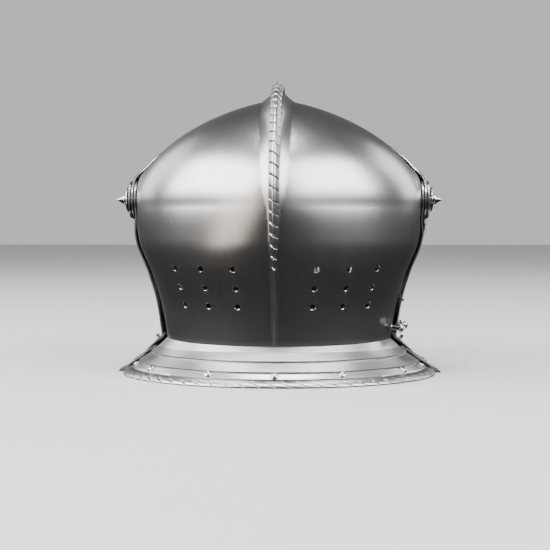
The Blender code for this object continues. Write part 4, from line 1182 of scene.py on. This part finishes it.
# Linings -------------------------------------------------------------------------
def stuffed(data: bpy.types.Mesh, voxel: float, reach: float,
            seam: Callable[[Array], Array]) -> bpy.types.Mesh:
    """Fill a closed shape with stuffing and sew its channels.

    The skin is blown up as cloth, no point moves further than `reach`, and then each
    point sinks along its normal by the depth of the seams.

    Args:
        data: Closed shape, a little slimmer than wanted.
        voxel: Size of the even skin's cells.
        reach: Furthest that a point may move.
        seam: Depth of the seams at points.

    Returns:
        The sewn skin, subdivided once.
    """
    scene = bpy.context.scene
    rough = bpy.data.objects.new("pad", data)
    scene.collection.objects.link(rough)
    skin = rough.modifiers.new("skin", "REMESH")
    skin.mode, skin.voxel_size = "VOXEL", voxel
    graph = bpy.context.evaluated_depsgraph_get()
    even = bpy.data.meshes.new_from_object(rough.evaluated_get(graph))
    bpy.data.objects.remove(rough)
    pad = bpy.data.objects.new("pad", even)
    scene.collection.objects.link(pad)
    start = np.empty(len(even.vertices) * 3, np.float32)
    even.vertices.foreach_get("co", start)
    moved = start.copy()
    cloth = pad.modifiers.new("stuffing", "CLOTH")
    cloth.settings.quality = 4
    cloth.settings.use_pressure = True
    cloth.settings.uniform_pressure_force = 4
    cloth.settings.effector_weights.gravity = 0
    cloth.point_cache.frame_start, cloth.point_cache.frame_end = 1, 20
    for frame in range(1, 21):
        scene.frame_set(frame)
    graph = bpy.context.evaluated_depsgraph_get()
    pad.evaluated_get(graph).data.vertices.foreach_get("co", moved)
    pad.modifiers.remove(cloth)
    scene.frame_set(1)
    step = (moved - start).reshape(-1, 3)
    far = np.linalg.norm(step, axis=1, keepdims=True)
    step *= np.minimum(1, reach / np.maximum(far, 1e-9))
    points = start.reshape(-1, 3) + step
    even.vertices.foreach_set("co", points.ravel())
    even.update()
    normals = np.empty(len(even.vertices) * 3, np.float32)
    even.vertex_normals.foreach_get("vector", normals)
    points = points - normals.reshape(-1, 3) * seam(points)[:, None]
    even.vertices.foreach_set("co", points.ravel().astype(np.float32))
    even.update()
    finer = pad.modifiers.new("finer", "SUBSURF")
    finer.levels = finer.render_levels = 1
    graph = bpy.context.evaluated_depsgraph_get()
    done = bpy.data.meshes.new_from_object(pad.evaluated_get(graph))
    bpy.data.objects.remove(pad)
    return done


@dataclass
class Linings:
    """Quilted cap, leather band and chin pad."""

    cap_gap: float = 4 * MM
    cap_t: float = 8.5 * MM
    cap_low: float = 121 * MM
    channels: int = 9
    seam_deep: float = 2.4 * MM
    band: tuple[float, float] = (105.5 * MM, 117.5 * MM)
    leather_t: float = 1.7 * MM
    swell: float = 1.6 * MM

    def cap_seams(self, points: Array) -> Array:
        """Seams down the cap and two round it, each a narrow raised cosine."""
        turn = np.arctan2(points[:, 1] - FORM.mid_y, points[:, 0])
        down = notch(turn / math.pi * self.channels, 0.16)
        height = (points[:, 2] - self.cap_low) / (44 * MM) - 0.32
        around = notch(np.clip(height, -0.4, 1.6), 0.1)
        return self.seam_deep * np.maximum(down, around)

    def cap(self) -> bpy.types.Mesh:
        """Cap between two copies of the skull's face, trimmed at the brow."""
        rise = np.sin(np.radians(np.linspace(0, 80, 14)))
        z = np.concatenate([np.linspace(self.cap_low, FORM.dome_z, 8)[:-1],
                            FORM.dome_z + (FORM.dome_rise - self.cap_gap) * rise])
        stretch = np.where(z > FORM.dome_z, FORM.dome_z + (z - FORM.dome_z)
                           * FORM.dome_rise / (FORM.dome_rise - self.cap_gap), z)
        phi = np.linspace(0, 2 * math.pi, 72, endpoint=False)
        grid = FORM.skull(phi[None, :], stretch[:, None], -self.cap_gap)
        grid[..., 2] = z[:, None]
        heights = np.linspace(100, 240, 24)
        edge = smooth([(h, d - 8) for d, h in FACE_EDGE], heights)
        outline = [*zip(edge, heights), (200, 240), (200, 100)]
        return carved(sheet("quilted_cap", grid, True, True), [
            ("DIFFERENCE", side_prism("cap_front", outline[::-1])),
            ("DIFFERENCE", pivot_drill("cap_reliefs", 9.5 * MM)),
        ], wall=self.cap_t)

    def band_mesh(self) -> bpy.types.Mesh:
        """Leather band round the skull's inside, with rounded edges."""
        phi = np.radians(np.linspace(-188, 8, 200))
        low, high = self.band
        outer = -FORM.skull_t - 1.1 * MM
        inner = outer - self.leather_t
        edge = 0.4 * MM
        z = np.array([high - edge, low + edge, low, low, low + edge, high - edge, high,
                      high])
        out = np.array([outer, outer, outer - edge, inner + edge, inner, inner,
                        inner + edge, outer - edge])
        return bar("head_band", FORM.skull(phi[:, None], z[None, :], out[None, :]))

    def chin(self) -> bpy.types.Mesh:
        """Pad inside the lower bevor: a lens section carried over the chin."""
        phi = np.radians(np.linspace(43, 137, 40))
        turn = np.linspace(0, 2 * math.pi, 24, endpoint=False)
        z = 53 * MM + 12 * MM * np.sign(np.sin(turn)) * np.abs(np.sin(turn)) ** 0.7
        out = -9.2 * MM + 3.6 * MM * np.sign(np.cos(turn)) * np.abs(np.cos(turn)) ** 0.7
        rows = LOWER_FACE(phi[:, None], z[None, ::-1], out[None, ::-1])
        return bar("padded_chin", rows)

    def chin_seams(self, points: Array) -> Array:
        """Upright seams across the pad, a raised cosine each."""
        return 1.6 * MM * notch(points[:, 0] / (17 * MM), 0.12)

    def dress(self, dresser: Dresser) -> None:
        """Show the linings."""
        cap = dresser.dress("quilted_cap", stuffed(self.cap(), 4.5 * MM, self.swell,
                                                   self.cap_seams),
                            ["liner_cap"], Slot.LINEN, "linen", 70)
        chin = dresser.dress("padded_chin", stuffed(self.chin(), 4 * MM, self.swell,
                                                    self.chin_seams),
                             ["chin_pad"], Slot.LINEN, "linen", 70)
        dresser.dress("head_band", self.band_mesh(), ["lining_band"], Slot.LEATHER,
                      "leather", 50)


# Finishes ------------------------------------------------------------------------
class Nodes:
    """Short way to place and link nodes in one tree."""

    def __init__(self, tree: bpy.types.NodeTree) -> None:
        """Work in a node tree."""
        self.tree = tree

    def add(self, kind: str, inputs: Optional[dict] = None, **settings) -> bpy.types.Node:
        """Add a node.

        Args:
            kind: Node type without its ShaderNode prefix.
            inputs: Values or output sockets by input name or number.
            settings: The node's own properties.

        Returns:
            The node.
        """
        node = self.tree.nodes.new("ShaderNode" + kind)
        for key, value in settings.items():
            setattr(node, key, value)
        for key, value in (inputs or {}).items():
            if isinstance(value, bpy.types.NodeSocket):
                self.tree.links.new(value, node.inputs[key])
            else:
                node.inputs[key].default_value = value
        return node

    def math(self, operation: str, a: object, b: object = 0.0) -> bpy.types.NodeSocket:
        """Sum, product or other scalar operation of two values."""
        return self.add("Math", {0: a, 1: b}, operation=operation).outputs[0]

    def blend(self, share: object, a: object, b: object) -> bpy.types.NodeSocket:
        """Colour between a and b."""
        node = self.add("Mix", {"Factor": share, 6: a, 7: b}, data_type="RGBA")
        return node.outputs[2]

    def noise(self, at: object, scale: object, detail: float = 3,
              rough: float = 0.55) -> bpy.types.NodeSocket:
        """Noise value from 0 to 1."""
        return self.add("TexNoise", {"Vector": at, "Scale": scale, "Detail": detail,
                                     "Roughness": rough}).outputs["Fac"]


def new_group(name: str, inputs: dict[str, float], outputs: Sequence[str]
              ) -> tuple[bpy.types.NodeTree, Nodes, bpy.types.Node, bpy.types.Node]:
    """Start a node group whose inputs and outputs are all plain values."""
    tree = bpy.data.node_groups.new(name, "ShaderNodeTree")
    for label, value in inputs.items():
        socket = tree.interface.new_socket(label, in_out="INPUT",
                                           socket_type="NodeSocketFloat")
        socket.default_value = value
    for label in outputs:
        tree.interface.new_socket(label, in_out="OUTPUT", socket_type="NodeSocketFloat")
    return (tree, Nodes(tree), tree.nodes.new("NodeGroupInput"),
            tree.nodes.new("NodeGroupOutput"))


def strokes_group(lay: Lay) -> bpy.types.NodeTree:
    """Polishing strokes: noise drawn out along the stroke, in three widths.

    Upright strokes read the direction about the upright axis, round ones the height.
    """
    tree, n, given, made = new_group(f"strokes_{lay.value}",
                                     {"Fineness": 1.0, "Length": 1.0}, ["Strokes"])
    at = n.add("TexCoord").outputs["Object"]
    part = n.add("SeparateXYZ", {0: at})
    if lay is Lay.UPRIGHT:
        level = n.add("CombineXYZ", {0: part.outputs[0],
                                     1: n.math("SUBTRACT", part.outputs[1], FORM.mid_y)})
        unit = n.add("VectorMath", {0: level.outputs[0]}, operation="NORMALIZE")
        spread = n.add("VectorMath", {0: unit.outputs[0], "Scale": 46.0},
                       operation="SCALE").outputs[0]
        along = n.math("MULTIPLY", part.outputs[2], 9.0)
        slow = n.math("DIVIDE", along, given.outputs["Length"])
        lifted = n.add("CombineXYZ", {2: slow}).outputs[0]
        base = n.add("VectorMath", {0: spread, 1: lifted}, operation="ADD").outputs[0]
    else:
        slow = n.math("DIVIDE", 7.0, given.outputs["Length"])
        flat_x = n.math("MULTIPLY", part.outputs[0], slow)
        flat_y = n.math("MULTIPLY", part.outputs[1], slow)
        base = n.add("CombineXYZ", {0: flat_x, 1: flat_y,
                                    2: n.math("MULTIPLY", part.outputs[2], 420.0)}
                     ).outputs[0]
    broad = n.noise(base, given.outputs["Fineness"], 2, 0.5)
    fine = n.noise(base, n.math("MULTIPLY", given.outputs["Fineness"], 3.7), 3, 0.7)
    both = n.math("ADD", n.math("MULTIPLY", broad, 0.55), n.math("MULTIPLY", fine, 0.45))
    tree.links.new(both, made.inputs["Strokes"])
    return tree


def cloud_group() -> bpy.types.NodeTree:
    """Uneven polish and old handling: soft noise pushed to its ends."""
    tree, n, given, made = new_group("uneven_polish", {"Size": 9.0, "Contrast": 0.3},
                                     ["Mask"])
    at = n.add("TexCoord").outputs["Object"]
    soft = n.noise(at, given.outputs["Size"], 4, 0.55)
    low = n.math("SUBTRACT", 0.5, given.outputs["Contrast"])
    high = n.math("ADD", 0.5, given.outputs["Contrast"])
    mask = n.add("MapRange", {"Value": soft, "From Min": low, "From Max": high})
    tree.links.new(mask.outputs["Result"], made.inputs["Mask"])
    return tree


def painted_edge_light_group() -> bpy.types.NodeTree:
    """Painted highlight on sharp edges and painted shade in hollows, from how sharply the
    surface turns.
    """
    tree, n, given, made = new_group("edge_wear", {"Reach": 0.035}, ["Edge", "Hollow"])
    turn = n.add("NewGeometry").outputs["Pointiness"]
    reach = given.outputs["Reach"]
    # painted highlight mask: where the surface turns outward
    edge = n.add("MapRange", {"Value": turn, "From Min": 0.505,
                              "From Max": n.math("ADD", 0.505, reach)})
    # painted shade mask: where the surface turns inward
    hollow_shade = n.add("MapRange", {"Value": turn, "From Min": 0.495,
                                "From Max": n.math("SUBTRACT", 0.495, reach)})
    tree.links.new(edge.outputs["Result"], made.inputs["Edge"])
    tree.links.new(hollow_shade.outputs["Result"], made.inputs["Hollow"])
    return tree


def fibre_group() -> bpy.types.NodeTree:
    """Fine fibres and pores: a cellular pattern roughened by noise."""
    tree, n, given, made = new_group("fibres", {"Scale": 700.0}, ["Height", "Tone"])
    at = n.add("TexCoord").outputs["Object"]
    cells = n.add("TexVoronoi", {"Vector": at, "Scale": given.outputs["Scale"]},
                  feature="F1").outputs["Distance"]
    tone = n.noise(at, n.math("MULTIPLY", given.outputs["Scale"], 0.06), 4, 0.6)
    height = n.math("ADD", cells, n.math("MULTIPLY", tone, 0.5))
    tree.links.new(height, made.inputs["Height"])
    tree.links.new(tone, made.inputs["Tone"])
    return tree


@dataclass(frozen=True)
class Steel:
    """Hand-polished steel."""

    name: str
    light: tuple[float, float, float]
    dull: tuple[float, float, float]
    rough: float
    lay: Lay
    stroke: float = 0.1
    fineness: float = 1.0
    cloud: float = 0.06
    bump: float = 0.12

    def material(self, groups: dict[str, bpy.types.NodeTree]) -> bpy.types.Material:
        """Steel whose roughness and colour follow strokes and handling, with a painted
        highlight on sharp edges and painted shade in hollows.
        """
        material, n, shader = blank(self.name)
        strokes = n.add("Group", node_tree=groups[self.lay.value])
        strokes.inputs["Fineness"].default_value = self.fineness
        strokes.inputs["Length"].default_value = 1.0
        cloud = n.add("Group", node_tree=groups["cloud"]).outputs["Mask"]
        edge_highlight_and_shade = n.add("Group", node_tree=groups["edge"])
        line = strokes.outputs["Strokes"]
        tone = n.math("ADD", n.math("MULTIPLY", cloud, 0.45), n.math("MULTIPLY", line, 0.5))
        colour = n.blend(tone, (*self.light, 1), (*self.dull, 1))
        # painted shade: hollows darkened toward near-black
        colour = n.blend(n.math("MULTIPLY", edge_highlight_and_shade.outputs["Hollow"], 0.9), colour,
                         (0.09, 0.085, 0.08, 1))
        # painted highlight: sharp edges lightened toward a brighter steel
        highlight_tone = tuple(min(1.0, c * 1.25) for c in self.light)
        colour = n.blend(n.math("MULTIPLY", edge_highlight_and_shade.outputs["Edge"], 0.6), colour,
                         (*highlight_tone, 1))
        n.tree.links.new(colour, shader.inputs["Base Color"])
        rough = n.math("ADD", self.rough - self.stroke / 2 - self.cloud / 2,
                       n.math("MULTIPLY", line, self.stroke))
        rough = n.math("ADD", rough, n.math("MULTIPLY", cloud, self.cloud))
        n.tree.links.new(rough, shader.inputs["Roughness"])
        bump = n.add("Bump", {"Strength": self.bump, "Distance": 0.25 * MM,
                              "Height": line})
        n.tree.links.new(bump.outputs[0], shader.inputs["Normal"])
        shader.inputs["Metallic"].default_value = 1.0
        return material


@dataclass(frozen=True)
class Hide:
    """Waxed leather or plain-woven linen."""

    name: str
    light: tuple[float, float, float]
    dark: tuple[float, float, float]
    rough: float
    scale: float
    bump: float
    woven: bool = False

    def material(self, groups: dict[str, bpy.types.NodeTree]) -> bpy.types.Material:
        """Cloth or leather with fibres, and a weave on the cloth."""
        material, n, shader = blank(self.name)
        fibres = n.add("Group", node_tree=groups["fibre"])
        fibres.inputs["Scale"].default_value = self.scale
        height, tone = fibres.outputs["Height"], fibres.outputs["Tone"]
        if self.woven:
            at = n.add("TexCoord").outputs["Object"]
            threads = [n.add("TexWave", {"Vector": at, "Scale": 190.0, "Distortion": 1.2,
                                         "Detail": 1.0}, bands_direction=axis
                             ).outputs["Fac"] for axis in ("X", "Y", "Z")]
            weave = n.math("MULTIPLY", n.math("ADD", threads[0], threads[1]), threads[2])
            height = n.math("ADD", n.math("MULTIPLY", height, 0.3), weave)
        colour = n.blend(tone, (*self.dark, 1), (*self.light, 1))
        n.tree.links.new(colour, shader.inputs["Base Color"])
        rough = n.math("ADD", self.rough - 0.1, n.math("MULTIPLY", tone, 0.2))
        n.tree.links.new(rough, shader.inputs["Roughness"])
        bump = n.add("Bump", {"Strength": self.bump, "Distance": 0.4 * MM,
                              "Height": height})
        n.tree.links.new(bump.outputs[0], shader.inputs["Normal"])
        return material


def blank(name: str) -> tuple[bpy.types.Material, Nodes, bpy.types.Node]:
    """New material with its Principled shader."""
    material = bpy.data.materials.new(name)
    material.use_nodes = True
    return (material, Nodes(material.node_tree),
            material.node_tree.nodes["Principled BSDF"])


def finishes() -> dict[str, bpy.types.Material]:
    """All finishes of the helmet by name."""
    groups = {lay.value: strokes_group(lay) for lay in Lay}
    groups.update(cloud=cloud_group(), edge=painted_edge_light_group(), fibre=fibre_group())
    grey, dull = (0.58, 0.58, 0.59), (0.44, 0.43, 0.42)
    made = {
        "skull": Steel("skull_steel", grey, dull, 0.30, Lay.UPRIGHT, stroke=0.12),
        "plates": Steel("plate_steel", grey, dull, 0.31, Lay.UPRIGHT, stroke=0.12),
        "collar": Steel("collar_steel", (0.66, 0.66, 0.66), (0.5, 0.49, 0.48), 0.33,
                        Lay.ROUND, stroke=0.16, bump=0.2),
        "rivets": Steel("rivet_metal", (0.7, 0.69, 0.68), (0.52, 0.51, 0.49), 0.24,
                        Lay.ROUND, stroke=0.06, bump=0.05),
        "dark": Steel("forged_metal", (0.3, 0.3, 0.31), (0.16, 0.15, 0.14), 0.42,
                      Lay.ROUND, stroke=0.1, cloud=0.15),
        "leather": Hide("waxed_leather", (0.2, 0.105, 0.05), (0.075, 0.035, 0.018), 0.5,
                        900.0, 0.35),
        "linen": Hide("quilted_linen", (0.62, 0.56, 0.44), (0.42, 0.36, 0.27), 0.88,
                      1100.0, 0.5, woven=True),
    }
    return {key: look.material(groups) for key, look in made.items()}


# Studio --------------------------------------------------------------------------
@dataclass(frozen=True)
class Panel:
    """Soft light panel about the helmet; angles in degrees, energy in watts."""

    name: str
    azimuth: float
    elevation: float
    reach: float
    size: tuple[float, float]
    energy: float
    tint: tuple[float, float, float] = (1.0, 1.0, 1.0)

    def light(self, target: Vector) -> None:
        """Hang the panel and turn it to the helmet."""
        data = bpy.data.lights.new(self.name, "AREA")
        data.shape, data.size, data.size_y = "RECTANGLE", *self.size
        data.energy, data.color = self.energy, self.tint
        lamp = bpy.data.objects.new(self.name, data)
        a, e = math.radians(self.azimuth), math.radians(self.elevation)
        away = Vector((math.sin(a) * math.cos(e), -math.cos(a) * math.cos(e), math.sin(e)))
        lamp.location = target + away * self.reach
        lamp.rotation_euler = (-away).to_track_quat("-Z", "Y").to_euler()
        bpy.context.scene.collection.objects.link(lamp)


@dataclass
class Studio:
    """Pale floor, soft panels, surroundings and camera."""

    distance: float = 1.163
    azimuth: float = 2.0
    height: float = 0.142
    lens: float = 81.8
    pitch: float = -2.52
    turn: float = 0.18
    panels: tuple[Panel, ...] = (
        Panel("left_panel", -62, 32, 2.0, (2.1, 1.3), 86),
        Panel("right_panel", 54, 33, 2.0, (1.7, 1.3), 60),
        Panel("top_panel", 0, 78, 1.8, (0.9, 0.7), 34),
        Panel("low_panel", -40, -1, 1.3, (0.5, 0.6), 2.4, (1.0, 0.86, 0.74)),
        Panel("left_wing", -124, 24, 2.2, (1.1, 1.3), 13),
        Panel("right_wing", 124, 24, 2.2, (1.1, 1.3), 13),
    )
    backdrop: tuple[float, float, float] = (0.62, 0.62, 0.63)
    surroundings: float = 0.03
    glow: float = 0.1
    floor_tone: tuple[float, float, float] = (0.6, 0.595, 0.585)

    def floor(self) -> None:
        """Pale floor, finely mottled."""
        side = np.linspace(-6, 6, 9)
        x, y = np.meshgrid(side, side)
        data = sheet("floor", np.stack([x, y, 0 * x - 0.05 * MM], axis=-1))
        material, n, shader = blank("floor_paint")
        at = n.add("TexCoord").outputs["Object"]
        tone = n.noise(at, 3.0, 3, 0.5)
        dark = tuple(c * 0.93 for c in self.floor_tone)
        n.tree.links.new(n.blend(tone, (*self.floor_tone, 1), (*dark, 1)),
                         shader.inputs["Base Color"])
        shader.inputs["Roughness"].default_value = 0.85
        data.materials.append(material)
        floor = bpy.data.objects.new("floor", data)
        floor.visible_glossy = False
        bpy.context.scene.collection.objects.link(floor)

    def world(self) -> None:
        """Pale backdrop to look at, dim surroundings for the steel to mirror."""
        world = bpy.data.worlds.new("studio")
        bpy.context.scene.world = world
        world.use_nodes = True
        n = Nodes(world.node_tree)
        glossy = n.add("LightPath").outputs["Is Glossy Ray"]
        way = n.add("SeparateXYZ", {0: n.add("TexCoord").outputs["Generated"]})
        side = n.add("MapRange", {"Value": n.math("ABSOLUTE", way.outputs[0]),
                                  "From Min": 0.3, "From Max": 0.95})
        high = n.add("MapRange", {"Value": way.outputs[2], "From Min": -0.3,
                                  "From Max": 0.0})
        glow = n.math("MULTIPLY", side.outputs[0], high.outputs[0])
        dim = n.blend(glow, (*(self.surroundings,) * 3, 1), (*(self.glow,) * 3, 1))
        colour = n.blend(glossy, (*self.backdrop, 1), dim)
        world.node_tree.links.new(colour, world.node_tree.nodes["Background"].inputs[0])

    def camera(self) -> None:
        """Camera behind the helmet, a little to its right side."""
        data = bpy.data.cameras.new("camera")
        data.lens, data.sensor_width = self.lens, 36
        data.clip_start, data.clip_end = 0.05, 50
        camera = bpy.data.objects.new("camera", data)
        a = math.radians(self.azimuth)
        camera.location = (self.distance * math.sin(a),
                           FORM.mid_y - self.distance * math.cos(a), self.height)
        camera.rotation_euler = (math.radians(90 + self.pitch), 0,
                                 a + math.radians(self.turn))
        bpy.context.scene.collection.objects.link(camera)
        bpy.context.scene.camera = camera

    def build(self) -> None:
        """Set up everything around the helmet."""
        self.floor()
        self.world()
        for panel in self.panels:
            panel.light(Vector((0, 0, 0.14)))
        self.camera()


def main() -> None:
    """Build the helmet's looks around the frame."""
    logging.basicConfig(level=logging.INFO, format="%(name)s: %(message)s")
    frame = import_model()
    dresser = Dresser(frame, finishes())
    parts = (SkullShell(), FacePlates(), Collar("nape", NAPE_FACE, -90),
             Collar("gorget", GORGET_FACE, 90, waist_angles=(7.5, 172.5)), Pivots(),
             NECK_HOOK, BEVOR_PROP, Linings())
    for part in parts:
        part.dress(dresser)
    edge = domed_rivet("edge_head", 2.8 * MM, FORM.plate_t + 0.2 * MM, aim(*EDGE_RIVET))
    dresser.dress("edge_head", edge, ["edge_rivet"], Slot.RIVET, "rivets", 30)
    Studio().build()


if __name__ == "__main__":
    main()
